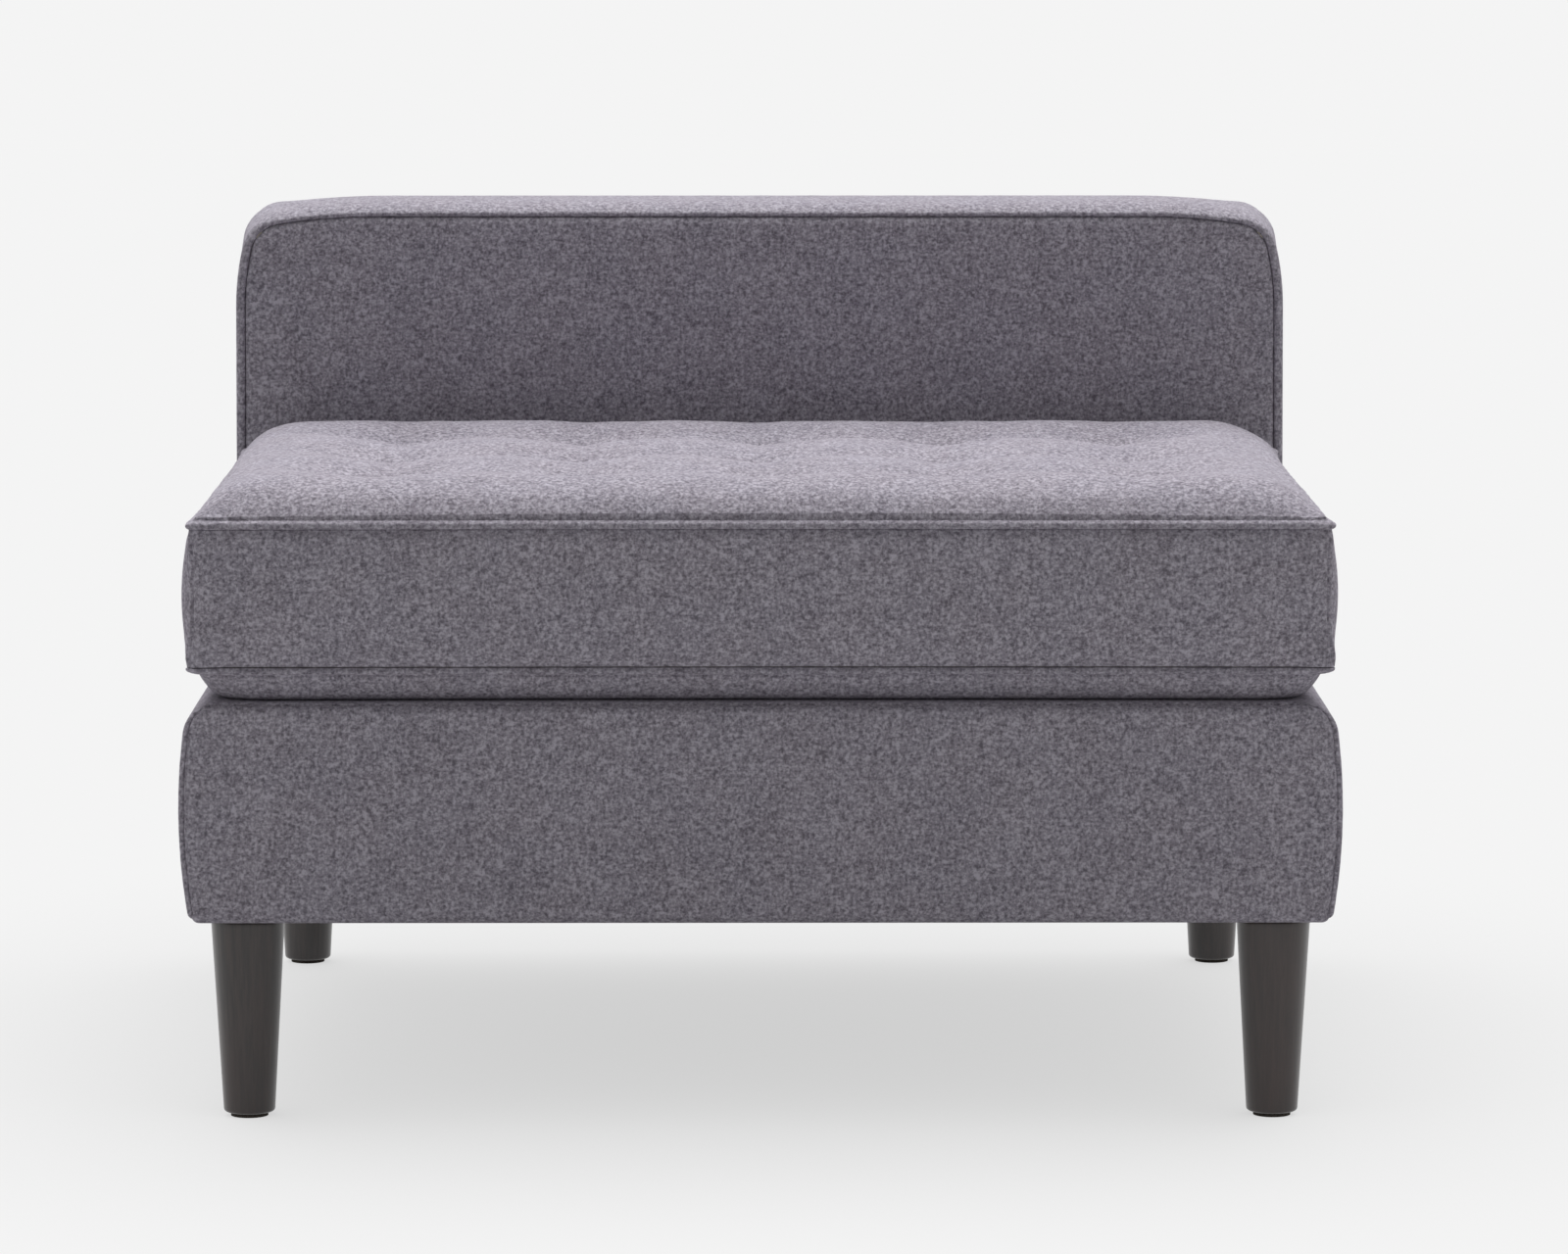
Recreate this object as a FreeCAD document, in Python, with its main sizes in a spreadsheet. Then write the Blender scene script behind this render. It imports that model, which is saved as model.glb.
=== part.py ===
import FreeCAD, Part
import math
import os
import re
import Sketcher
from FreeCAD import Vector

# A compact two-seat sofa in felted wool: a boxed base on four turned legs,
# a boxed leaning back bolted to it, and one loose seat cushion with blind tufts.
# Millimetres. X to the right, Y to the rear, Z up, origin on the floor at the middle.

os.makedirs("parts", exist_ok=True)
doc = FreeCAD.newDocument("Sofa")
dims = doc.addObject("Spreadsheet::Sheet", "dims")

# Sizes that can be set by themselves: alias, value, meaning
driving = [
    ("overall_width", 860, "over the fullest part of the sides"),
    ("overall_depth", 810, "front crown to rear panel"),
    ("leg_height", 151, "floor to the dust cover"),
    ("base_height", 164, "underside of the base cover to the deck"),
    ("back_height", 329, "deck to the top of the back"),
    ("cover_thickness", 2.5, "felted wool with its lining"),
    ("soft_gap", 0.3, "clearance round soft pieces"),
    ("shoulder_radius", 8, "roll of a cover over the front and rear edges, up to the seam"),
    ("seam_margin", 0.5, "flat edge of a cover between its roll and the seam"),
    ("base_top_radius", 25, "upper corners of the base, seen from the front"),
    ("base_side_radius", 470, "barrel of the sides of the base"),
    ("base_front_crown", 5, "fullness of the front panel"),
    ("hem_return", 30, "cover turned in under the frame"),
    ("back_side_inset", 1, "sides of the back inside the sides of the base"),
    ("back_lean", 4, "degrees from upright"),
    ("back_foot_depth", 206.5, "depth of the back where it meets the deck"),
    ("back_top_sweep", 500, "radius of the slow fall at each end of the top edge"),
    ("back_top_turn", 9.2, "degrees of that fall"),
    ("back_corner_radius", 34, "upper corners of the back"),
    ("back_corner_turn", 68, "degrees of that corner"),
    ("back_side_sweep", 220, "radius that runs the corner into the side"),
    ("back_front_crown", 9, "fullness of the front of the back"),
    ("rail_thickness", 22, "frame timber"),
    ("rail_height", 140, "rails of the base"),
    ("brace_height", 100, "centre brace of the base"),
    ("side_padding", 18, "cover and wadding at the sides"),
    ("front_padding", 18, "cover and wadding at the front of the base"),
    ("rear_padding", 8, "cover and felt at the rear"),
    ("back_front_padding", 25, "cover and foam at the front of the back"),
    ("back_top_padding", 20, "cover and wadding over the back"),
    ("support_board_thickness", 19, "board that carries the back"),
    ("support_board_depth", 182, "front to rear"),
    ("board_margin", 11, "deck pad and support board stand in from the rails"),
    ("web_width", 60, "elastic band"),
    ("web_thickness", 1.2, "elastic band"),
    ("webs_lengthwise", 4, "bands from side to side"),
    ("webs_crosswise", 6, "bands from front to rear"),
    ("block_leg", 90, "corner block along each rail"),
    ("block_toe", 25, "square end of the corner block"),
    ("block_height", 60, "corner block"),
    ("dust_cover_thickness", 1, "black cloth under the base"),
    ("dust_cover_margin", 14, "edge of the cloth inside the cover"),
    ("leg_top_diameter", 54, "at the dust cover"),
    ("leg_foot_diameter", 37, "at the floor"),
    ("leg_foot_bevel", 2.5, "edge of the foot"),
    ("leg_side_inset", 47.6, "leg axis from the side"),
    ("leg_end_inset", 56, "leg axis from the front or rear"),
    ("bolt_diameter", 8, "hanger bolts and back bolts"),
    ("bolt_play", 0.2, "radial play of a bolt in its bore"),
    ("hanger_bolt_length", 60, "double-ended bolt of a leg"),
    ("hanger_bolt_in_leg", 34, "its lower end"),
    ("bolt_slit", 14, "square opening in the dust cover round a bolt"),
    ("glide_diameter", 28, "pad under a foot"),
    ("glide_thickness", 3, "pad under a foot"),
    ("back_bolt_spacing", 520, "between the two back bolts"),
    ("back_bolt_length", 40, "under the head"),
    ("back_bolt_head", 14.4, "across the corners of the hexagon"),
    ("back_bolt_head_height", 5, "head"),
    ("back_rail_height", 60, "rails of the back"),
    ("bottom_board_thickness", 18, "board at the foot of the back"),
    ("rear_board_thickness", 2.5, "stiff board behind the back"),
    ("cushion_side_inset", 11, "cushion seam inside the sides of the base"),
    ("cushion_front_inset", 7.5, "cushion seam behind the front of the base"),
    ("cushion_rear_inset", 9.5, "cushion seam in front of the foot of the back"),
    ("tray_height", 25, "rolled lower edge of the cushion, deck to lower seam"),
    ("tray_roll", 14, "how far that edge runs in"),
    ("border_height", 104, "between the two seams of the cushion"),
    ("border_bulge", 7.5, "fullness of the border"),
    ("cushion_corner_radius", 12, "corners of the cushion at the seams"),
    ("cushion_waist", 3, "front and sides drawn in between the corners"),
    ("tuft_columns", 5, "across"),
    ("tuft_rows", 3, "front to rear"),
    ("crown_height", 39, "top of a pillow above the upper seam"),
    ("tuft_height", 25.5, "bottom of a tuft above the upper seam"),
    ("row_height", 31, "between two tufts of a row"),
    ("column_height", 31, "between two tufts of a column"),
    ("end_pillow_drop", 6, "the pillows at both ends lie lower"),
    ("edge_roll", 0.6, "fall to the front and rear seams, in tuft cells"),
    ("tie_width", 6, "woven tie of a tuft"),
    ("tie_thickness", 1, "woven tie of a tuft"),
    ("tie_play", 0.3, "round a tie in its slit"),
    ("tuft_pad_size", 24, "felt pad under a tie"),
    ("tuft_pad_thickness", 1, "felt pad under a tie"),
    ("zip_length", 560, "opening behind the cushion"),
    ("zip_slot_height", 12, "between the two edges of the zipped border"),
    ("zip_end", 25, "border beyond each end of the zip"),
    ("zip_tape_height", 30, "both tapes together"),
    ("zip_tape_thickness", 0.8, "tape"),
    ("zip_seat", 0.9, "tape behind the fullest part of the border"),
    ("zip_coil_height", 5, "closed coil"),
    ("zip_coil_thickness", 1.5, "closed coil"),
    ("slider_length", 11, "along the coil"),
    ("slider_wall", 1.2, "plate and flanges"),
    ("slider_play", 0.3, "round the coil"),
]

# Sizes that follow from them
derived = [
    ("half_width", "overall_width / 2"),
    ("front_face", "-overall_depth / 2"),
    ("rear_face", "overall_depth / 2"),
    ("front_seam", "front_face + base_front_crown"),
    ("seam_inset", "shoulder_radius + seam_margin"),
    ("base_bottom", "leg_height + dust_cover_thickness"),
    ("deck", "base_bottom + base_height"),
    ("back_top", "deck + back_height"),
    ("back_foot", "rear_face - back_foot_depth"),
    ("rail_bottom", "base_bottom + cover_thickness"),
    ("rail_top", "rail_bottom + rail_height"),
    ("rail_side", "half_width - side_padding"),
    ("rail_side_inner", "rail_side - rail_thickness"),
    ("rail_front", "front_seam + front_padding"),
    ("rail_front_inner", "rail_front + rail_thickness"),
    ("rail_rear", "rear_face - rear_padding"),
    ("rail_rear_inner", "rail_rear - rail_thickness"),
    ("board_side", "rail_side - board_margin"),
    ("board_front", "rail_rear - support_board_depth"),
    ("board_top", "rail_top + support_board_thickness"),
    ("leg_x", "half_width - leg_side_inset"),
    ("leg_front_y", "front_face + leg_end_inset"),
    ("leg_rear_y", "rear_face - leg_end_inset"),
    ("bore_radius", "bolt_diameter / 2 + bolt_play"),
    ("back_bolt_y", "(board_front + rail_rear) / 2 + rail_thickness"),
    ("back_frame_top", "back_top - back_top_padding"),
    ("board_lean", "bottom_board_thickness * tan(back_lean)"),
    ("back_board_front", "back_foot + back_front_padding + rail_thickness + board_lean + soft_gap"),
    ("cushion_half", "half_width - cushion_side_inset"),
    ("cushion_front", "front_face + cushion_front_inset"),
    ("cushion_rear", "back_foot - cushion_rear_inset"),
    ("cushion_bottom", "deck + soft_gap"),
    ("lower_seam", "deck + tray_height"),
    ("upper_seam", "lower_seam + border_height"),
    ("zip_z", "(lower_seam + upper_seam) / 2"),
    ("zip_tape_face", "cushion_rear + border_bulge - cover_thickness - zip_seat"),
    ("zip_coil_face", "zip_tape_face + zip_coil_thickness"),
]


def fillSheet():
    row = 0
    for alias, value, meaning in driving:
        row += 1
        dims.set("A%d" % row, alias)
        dims.set("B%d" % row, str(value))
        dims.set("C%d" % row, meaning)
        dims.setAlias("B%d" % row, alias)
    for alias, formula in derived:
        row += 1
        dims.set("A%d" % row, alias)
        dims.set("B%d" % row, "=" + formula)
        dims.setAlias("B%d" % row, alias)
        doc.recompute()


def size(alias):
    return float(dims.get(alias))


def count(alias):
    return int(round(size(alias)))


fillSheet()
aliases = [entry[0] for entry in driving + derived]
subParts = []


def formula(text):
    # Lets a formula name the cells of the sheet by alias alone
    def prefixed(word):
        return "dims." + word.group() if word.group() in aliases else word.group()
    return re.sub(r"[a-z]\w*", prefixed, text)


def named(piece, label):
    piece.Label = label
    subParts.append(piece)
    return piece


def bind(piece, bindings):
    for name, text in bindings.items():
        piece.setExpression(name, formula(text))
    return piece


def box(label, low, high):
    # A block between two corners, each given as three formulas
    piece = doc.addObject("Part::Box", label)
    for side, axis, start, end in zip(("Length", "Width", "Height"), "xyz", low, high):
        bind(piece, {side: "(%s) - (%s)" % (end, start), "Placement.Base." + axis: start})
    return piece


def rod(label, radius, length, foot):
    piece = doc.addObject("Part::Cylinder", label)
    bind(piece, {"Radius": radius, "Height": length})
    for axis, text in zip("xyz", foot):
        bind(piece, {"Placement.Base." + axis: text})
    return piece


def fused(label, members):
    piece = doc.addObject("Part::MultiFuse", label)
    piece.Shapes = members
    return piece


def group(label, members):
    # Alike pieces that share a node stay separate solids
    piece = doc.addObject("Part::Compound", label)
    piece.Links = members
    return piece


def cut(label, base, tools):
    piece = doc.addObject("Part::Cut", label)
    piece.Base = base
    piece.Tool = tools[0] if len(tools) == 1 else group(label + "_tools", tools)
    return piece


def newBody(label):
    return named(doc.addObject("PartDesign::Body", label), label)


def newSketch(body, role, suffix, offset="0"):
    plane = [part for part in body.Origin.OriginFeatures if part.Role == role][0]
    sketch = body.newObject("Sketcher::SketchObject", body.Name + suffix)
    sketch.AttachmentSupport = (plane, [""])
    sketch.MapMode = "FlatFace"
    return bind(sketch, {"AttachmentOffset.Base.z": offset})


def solidFeature(label, shape):
    # A soft piece whose form is worked out from the sheet by a function
    piece = doc.addObject("Part::Feature", label)
    piece.Shape = shape
    return named(piece, label)


def pin(sketch, kind, place, text):
    # One dimension of a sketch, measured from its origin and bound to a formula
    number = sketch.addConstraint(Sketcher.Constraint(kind, *place, sketch.evalExpression(formula(text))))
    sketch.setExpression("Constraints[%d]" % number, formula(text))


def polygon(sketch, corners):
    points = [Vector(*[sketch.evalExpression(formula(text)) for text in corner], 0) for corner in corners]
    first = sketch.GeometryCount
    last = len(points) - 1
    for k, point in enumerate(points):
        sketch.addGeometry(Part.LineSegment(point, points[0 if k == last else k + 1]))
    for k in range(len(points)):
        following = first if k == last else first + k + 1
        sketch.addConstraint(Sketcher.Constraint("Coincident", first + k, 2, following, 1))
    for k, (across, up) in enumerate(corners):
        pin(sketch, "DistanceX", (-1, 1, first + k, 1), across)
        pin(sketch, "DistanceY", (-1, 1, first + k, 1), up)
    return sketch


def circle(sketch, centre, radius):
    across, up, reach = [sketch.evalExpression(formula(text)) for text in centre + (radius,)]
    number = sketch.addGeometry(Part.Circle(Vector(across, up, 0), Vector(0, 0, 1), reach))
    pin(sketch, "DistanceX", (-1, 1, number, 3), centre[0])
    pin(sketch, "DistanceY", (-1, 1, number, 3), centre[1])
    pin(sketch, "Radius", (number,), radius)
    return sketch


def pad(body, sketch, length):
    feature = body.newObject("PartDesign::Pad", body.Name + "_pad")
    feature.Profile = sketch
    return bind(feature, {"Length": length})


def pocket(body, sketch, depth, reverse=False):
    feature = body.newObject("PartDesign::Pocket", body.Name + "_pocket")
    feature.Profile = sketch
    feature.Reversed = reverse
    return bind(feature, {"Length": depth})


def turned(body, sketch):
    feature = body.newObject("PartDesign::Revolution", body.Name + "_turned")
    feature.Profile = sketch
    feature.ReferenceAxis = (sketch, ["V_Axis"])
    feature.Angle = 360
    return feature


# Timber frame of the base

def makeBaseFrame():
    named(box("front_rail", ("-rail_side", "rail_front", "rail_bottom"),
              ("rail_side", "rail_front_inner", "rail_top")), "front_rail")
    named(box("rear_rail", ("-rail_side", "rail_rear_inner", "rail_bottom"),
              ("rail_side", "rail_rear", "rail_top")), "rear_rail")
    for side, outer, inner in (("left_rail", "-rail_side", "-rail_side_inner"),
                               ("right_rail", "rail_side_inner", "rail_side")):
        named(box(side, (outer, "rail_front_inner", "rail_bottom"),
                  (inner, "rail_rear_inner", "rail_top")), side)
    named(box("centre_brace", ("-rail_thickness / 2", "rail_front_inner", "rail_bottom"),
              ("rail_thickness / 2", "rail_rear_inner", "rail_bottom + brace_height")), "centre_brace")


# Glued blocks in the corners of the base, each bored for the bolt of its leg.
# Each block is drawn from its own corner: quarter turns bring it to its place.
def makeCornerBlocks():
    side_gap = "rail_side_inner - leg_x"
    front_gap = "leg_front_y - rail_front_inner"
    rear_gap = "rail_rear_inner - leg_rear_y"
    corners = (
        ("front_left", 0, "-rail_side_inner", "rail_front_inner", (side_gap, front_gap)),
        ("front_right", 90, "rail_side_inner", "rail_front_inner", (front_gap, side_gap)),
        ("rear_right", 180, "rail_side_inner", "rail_rear_inner", (side_gap, rear_gap)),
        ("rear_left", 270, "-rail_side_inner", "rail_rear_inner", (rear_gap, side_gap)),
    )
    outline = [("0", "0"), ("block_leg", "0"), ("block_leg", "block_toe"),
               ("block_toe", "block_leg"), ("0", "block_leg")]
    for corner, turn, x, y, bore in corners:
        body = newBody("corner_block_" + corner)
        pad(body, polygon(newSketch(body, "XY_Plane", "_outline"), outline), "block_height")
        bolt = circle(newSketch(body, "XY_Plane", "_bolt"), bore, "bore_radius")
        pocket(body, bolt, "hanger_bolt_length - hanger_bolt_in_leg + bolt_play", True)
        bind(body, {"Placement.Base.x": x, "Placement.Base.y": y, "Placement.Base.z": "rail_bottom",
                    "Placement.Rotation.Angle": str(turn)})


def legPlaces():
    for end, y in (("front", "leg_front_y"), ("rear", "leg_rear_y")):
        for side, x in (("left", "-leg_x"), ("right", "leg_x")):
            yield end + "_" + side, x, y


# Turned tapered legs with a bevelled foot, bored from above for the bolt.
# The four share a node, as do their double-ended bolts and the glides under them.
def makeLegs():
    profile = [("0", "glide_thickness"), ("leg_foot_diameter / 2", "glide_thickness"),
               ("leg_top_diameter / 2", "leg_height"), ("0", "leg_height")]
    legs = []
    for corner, x, y in legPlaces():
        leg = doc.addObject("PartDesign::Body", "leg_" + corner)
        turned(leg, polygon(newSketch(leg, "XZ_Plane", "_profile"), profile))
        doc.recompute()
        bevelFoot(leg)
        bore = circle(newSketch(leg, "XY_Plane", "_bore", "leg_height"), ("0", "0"), "bore_radius")
        pocket(leg, bore, "hanger_bolt_in_leg + bolt_play")
        legs.append(bind(leg, {"Placement.Base.x": x, "Placement.Base.y": y}))
    named(group("legs", legs), "legs")


def bevelFoot(leg):
    blank = leg.Tip
    sole = size("glide_thickness")
    edges = ["Edge%d" % (k + 1) for k, edge in enumerate(blank.Shape.Edges)
             if edge.BoundBox.ZMax < sole + 0.01 and edge.BoundBox.XLength > 1]
    bevel = leg.newObject("PartDesign::Chamfer", leg.Name + "_foot")
    bevel.Base = (blank, edges)
    bind(bevel, {"Size": "leg_foot_bevel"})
    doc.recompute()


def makeLegHardware():
    bolts, glides = [], []
    for corner, x, y in legPlaces():
        bolts.append(rod("hanger_bolt_" + corner, "bolt_diameter / 2", "hanger_bolt_length",
                         (x, y, "leg_height - hanger_bolt_in_leg")))
        glides.append(rod("glide_" + corner, "glide_diameter / 2", "glide_thickness", (x, y, "0")))
    named(group("hanger_bolts", bolts), "hanger_bolts")
    named(group("glides", glides), "glides")


# Black cloth that closes the base from below, open where the four bolts pass
def makeDustCover():
    cloth = newBody("dust_cover")
    side = "half_width - dust_cover_margin"
    front = "front_seam + dust_cover_margin"
    rear = "rear_face - dust_cover_margin"
    corners = [("-(%s)" % side, front), (side, front), (side, rear), ("-(%s)" % side, rear)]
    sketch = polygon(newSketch(cloth, "XY_Plane", "_cloth", "leg_height"), corners)
    for corner, x, y in legPlaces():
        left, right = ["%s %s bolt_slit / 2" % (x, sign) for sign in "-+"]
        near, far = ["%s %s bolt_slit / 2" % (y, sign) for sign in "-+"]
        polygon(sketch, [(left, near), (right, near), (right, far), (left, far)])
    pad(cloth, sketch, "dust_cover_thickness")


# The board that carries the back, and the two bolts that come up through it
def makeBackSeat():
    board = box("support_board_blank", ("-board_side", "board_front", "rail_top"),
                ("board_side", "rail_rear", "board_top"))
    foot = box("bottom_board_blank", ("-rail_side_inner", "back_board_front", "deck"),
               ("rail_side_inner", "rail_rear", "deck + bottom_board_thickness"))
    board_bores, foot_bores, bolts = [], [], []
    for k, x in enumerate(("-back_bolt_spacing / 2", "back_bolt_spacing / 2")):
        board_bores.append(rod("support_bore_%d" % k, "bore_radius", "support_board_thickness",
                               (x, "back_bolt_y", "rail_top")))
        foot_bores.append(rod("bottom_bore_%d" % k, "bore_radius", "bottom_board_thickness",
                              (x, "back_bolt_y", "deck")))
        shank = rod("back_bolt_shank_%d" % k, "bolt_diameter / 2", "back_bolt_length",
                    (x, "back_bolt_y", "rail_top"))
        head = doc.addObject("Part::Prism", "back_bolt_head_%d" % k)
        head.Polygon = 6
        bind(head, {"Circumradius": "back_bolt_head / 2", "Height": "back_bolt_head_height",
                    "Placement.Base.x": x, "Placement.Base.y": "back_bolt_y",
                    "Placement.Base.z": "rail_top - back_bolt_head_height"})
        bolts.append(fused("back_bolt_%d" % k, [shank, head]))
    named(cut("back_support_board", board, board_bores), "back_support_board")
    named(cut("back_bottom_board", foot, foot_bores), "back_bottom_board")
    named(group("back_bolts", bolts), "back_bolts")


# Elastic bands. Each runs over and under the bands that cross it, between two levels
# one band apart, and ends on top of a rail. The bands from front to rear end under the
# support board. edges are where the rails end and the open deck begins.
def wovenBand(ends, edges, crossings, first_over, end_low):
    thickness = size("web_thickness")
    half = size("web_width") / 2 + 2 * thickness
    high = size("rail_top")
    low = high - thickness
    last = low if end_low else high
    stations = [(ends[0], high), (edges[0], high)]
    over = first_over
    for middle in crossings:
        level = high if over else low
        stations += [(middle - half, level), (middle + half, level)]
        over = not over
    stations += [(edges[1], last), (ends[1], last)]
    under = [Vector(0, along, height) for along, height in stations]
    above = [Vector(0, along, height + thickness) for along, height in reversed(stations)]
    outline = Part.makePolygon(under + above + [under[0]])
    return Part.Face(outline).extrude(Vector(size("web_width"), 0, 0))


def spread(low, high, number):
    step = (high - low) / number
    return [low + step * (k + 0.5) for k in range(number)]


def makeSeatWebbing():
    inner = size("rail_side_inner")
    side = size("rail_side") - size("soft_gap")
    front = size("rail_front") + size("soft_gap")
    rear = size("board_front") + size("rail_thickness")
    across = spread(-inner, inner, count("webs_crosswise"))
    along = spread(size("rail_front_inner"), size("board_front"), count("webs_lengthwise"))
    half = size("web_width") / 2
    crosswise = []
    for k, x in enumerate(across):
        band = wovenBand((front, rear), (size("rail_front_inner"), size("board_front")),
                         along, k % 2 == 0, True)
        band.translate(Vector(x - half, 0, 0))
        crosswise.append(band)
    lengthwise = []
    for k, y in enumerate(along):
        band = wovenBand((-side, side), (-inner, inner), across, k % 2 == 1, False)
        band.rotate(Vector(0, 0, 0), Vector(0, 0, 1), -90)
        band.translate(Vector(0, y + half, 0))
        lengthwise.append(band)
    solidFeature("webbing_front_to_rear", Part.makeCompound(crosswise))
    solidFeature("webbing_side_to_side", Part.makeCompound(lengthwise))


# Outlines seen from the front are chains of arcs, from the top line round to the side.
# A chain starts at a point with a heading in degrees, where 0 runs to the right and 90 down.
def arcChain(x, z, heading, arcs):
    joints = [Vector(x, 0, z)]
    middles = []
    for radius, turn in arcs:
        centre_x = x - radius * math.sin(math.radians(heading))
        centre_z = z - radius * math.cos(math.radians(heading))
        for share in (0.5, 1):
            angle = math.radians(heading + turn * share)
            x = centre_x + radius * math.sin(angle)
            z = centre_z + radius * math.cos(angle)
            (middles if share == 0.5 else joints).append(Vector(x, 0, z))
        heading += turn
    return joints, middles


def mirroredWire(joints, middles, bottom):
    # joints and middles of the right half, top to bottom, and the level of the lower line
    def across(point):
        return Vector(-point.x, point.y, point.z)
    edges = [Part.LineSegment(across(joints[0]), joints[0]).toShape()]
    for k, middle in enumerate(middles):
        edges.append(Part.Arc(joints[k], middle, joints[k + 1]).toShape())
    foot = Vector(joints[-1].x, 0, bottom)
    if joints[-1].z - bottom > 0.01:
        edges.append(Part.LineSegment(joints[-1], foot).toShape())
    edges.append(Part.LineSegment(foot, across(foot)).toShape())
    if joints[-1].z - bottom > 0.01:
        edges.append(Part.LineSegment(across(foot), across(joints[-1])).toShape())
    for k in reversed(range(len(middles))):
        edges.append(Part.Arc(across(joints[k + 1]), across(middles[k]), across(joints[k])).toShape())
    return Part.Wire(edges)


def baseOutline(inset, drop=0):
    # Barrel sides, tangent to the upper corners. drop lowers the bottom line, for cuts
    # that pass through the underside.
    top = size("deck") - inset
    bottom = size("base_bottom") + inset - drop
    middle = (size("deck") + size("base_bottom")) / 2
    side = size("base_side_radius") - inset
    corner = size("base_top_radius") - inset
    upper = math.asin((top - corner - middle) / (side - corner))
    lower = math.asin((middle - bottom) / side)
    side_centre = size("half_width") - inset - side
    corner_x = side_centre + (side - corner) * math.cos(upper)
    arcs = [(corner, 90 - math.degrees(upper)), (side, math.degrees(upper + lower))]
    joints, middles = arcChain(corner_x, top, 0, arcs)
    return mirroredWire(joints, middles, bottom)


def backOutline(inset, drop=0):
    # The top edge falls slowly towards each corner and the corner runs out into the side
    turns = [size("back_top_turn"), size("back_corner_turn")]
    turns.append(90 - sum(turns))
    radii = [size(name) - inset for name in ("back_top_sweep", "back_corner_radius", "back_side_sweep")]
    arcs = list(zip(radii, turns))
    joints, middles = arcChain(0, size("back_top") - inset, 0, arcs)
    shift = Vector(size("half_width") - size("back_side_inset") - inset - joints[-1].x, 0, 0)
    joints = [point + shift for point in joints]
    middles = [point + shift for point in middles]
    return mirroredWire(joints, middles, size("deck") - drop)


def prism(wire, start, end):
    # The outline carried from one depth to another
    face = Part.Face(wire)
    face.translate(Vector(0, start, 0))
    return face.extrude(Vector(0, end - start, 0))


def sideways(corners, half):
    # A block that is the same across the whole width: corners as (depth, height)
    points = [Vector(-half, depth, height) for depth, height in corners]
    return Part.Face(Part.makePolygon(points + [points[0]])).extrude(Vector(2 * half, 0, 0))


def between(low, high):
    return Part.makeBox(high[0] - low[0], high[1] - low[1], high[2] - low[2], Vector(*low))


def endEdges(block, choose, above):
    # Edges of the front or rear face, without those that lie on the bottom
    end = choose(block.Faces, key=lambda face: face.CenterOfMass.y)
    return [edge for edge in end.Edges if edge.BoundBox.ZMax > above]


def shouldered(block, above):
    # The cover rolls over the front edges and is drawn tight over the rear ones
    radius = size("shoulder_radius")
    block = block.makeChamfer(radius * (2 - math.sqrt(2)), endEdges(block, max, above))
    return block.makeFillet(radius, endEdges(block, min, above))


def hollowed(block, inset, above):
    # What lies under the cover is cut off at the slant of the same roll
    slant = (size("shoulder_radius") - inset) * (2 - math.sqrt(2))
    block = block.makeChamfer(slant, endEdges(block, max, above))
    return block.makeChamfer(slant, endEdges(block, min, above))


def leaning(height, set_back=0):
    # Depth of the front seam plane of the back, at a height
    rise = height - size("deck")
    return size("back_foot") + rise * math.tan(math.radians(size("back_lean"))) + set_back


def leaningSlab(front, back, drop=0):
    # The space between two planes parallel to the front of the back, across the whole sofa
    low = size("deck") - drop
    high = size("back_top") + size("shoulder_radius")
    return sideways([(leaning(low, front), low), (leaning(high, front), high),
                     (leaning(high, back), high), (leaning(low, back), low)], size("half_width"))


# The upholstered bodies as solids: the whole body, or the room inside it at an inset
def baseBlock(inset):
    block = prism(baseOutline(inset), size("front_seam") + inset, size("rear_face") - inset)
    above = size("base_bottom") + inset + 1
    return hollowed(block, inset, above) if inset else shouldered(block, above)


def backBlock(inset, drop=0):
    bottom = size("deck") - drop
    rear = size("rear_face") - inset
    room = leaningSlab(inset, size("overall_depth"), drop)
    block = prism(backOutline(inset, drop), 0, rear).common(room)
    return hollowed(block, inset, bottom + 1) if inset else shouldered(block, bottom + 1)


# A crowned panel with its fibre layer: flat behind, and in front a bow from its lower to its
# upper edge that is fullest across the middle and fades towards both ends
def crownedPanel(half, bottom, top, plane, crown, outline):
    cover = size("cover_thickness")
    middle = (bottom + top) / 2
    left_at_ends = 0.03
    right_stations = [0.45, 0.75, 0.92, 1]
    left_stations = [-share for share in reversed(right_stations)]
    sections = []
    for share in left_stations + [0] + right_stations:
        fullness = crown * (1 + left_at_ends - share ** 4)

        def at(height, behind):
            return Vector(share * half, plane(height) + behind, height)
        bow = Part.Arc(at(bottom, 0), at(middle, -fullness), at(top, 0)).toShape()
        back = Part.makePolygon([at(top, 0), at(top, cover), at(bottom, cover), at(bottom, 0)])
        sections.append(Part.Wire([bow] + back.Edges))
    return Part.makeLoft(sections, True, True).common(outline)


def basePlane(height):
    return size("front_seam")


def boltBores(bottom, height):
    half = size("back_bolt_spacing") / 2
    places = [Vector(x, size("back_bolt_y"), bottom) for x in (-half, half)]
    return Part.makeCompound([Part.makeCylinder(size("bore_radius"), height, place) for place in places])


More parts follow.
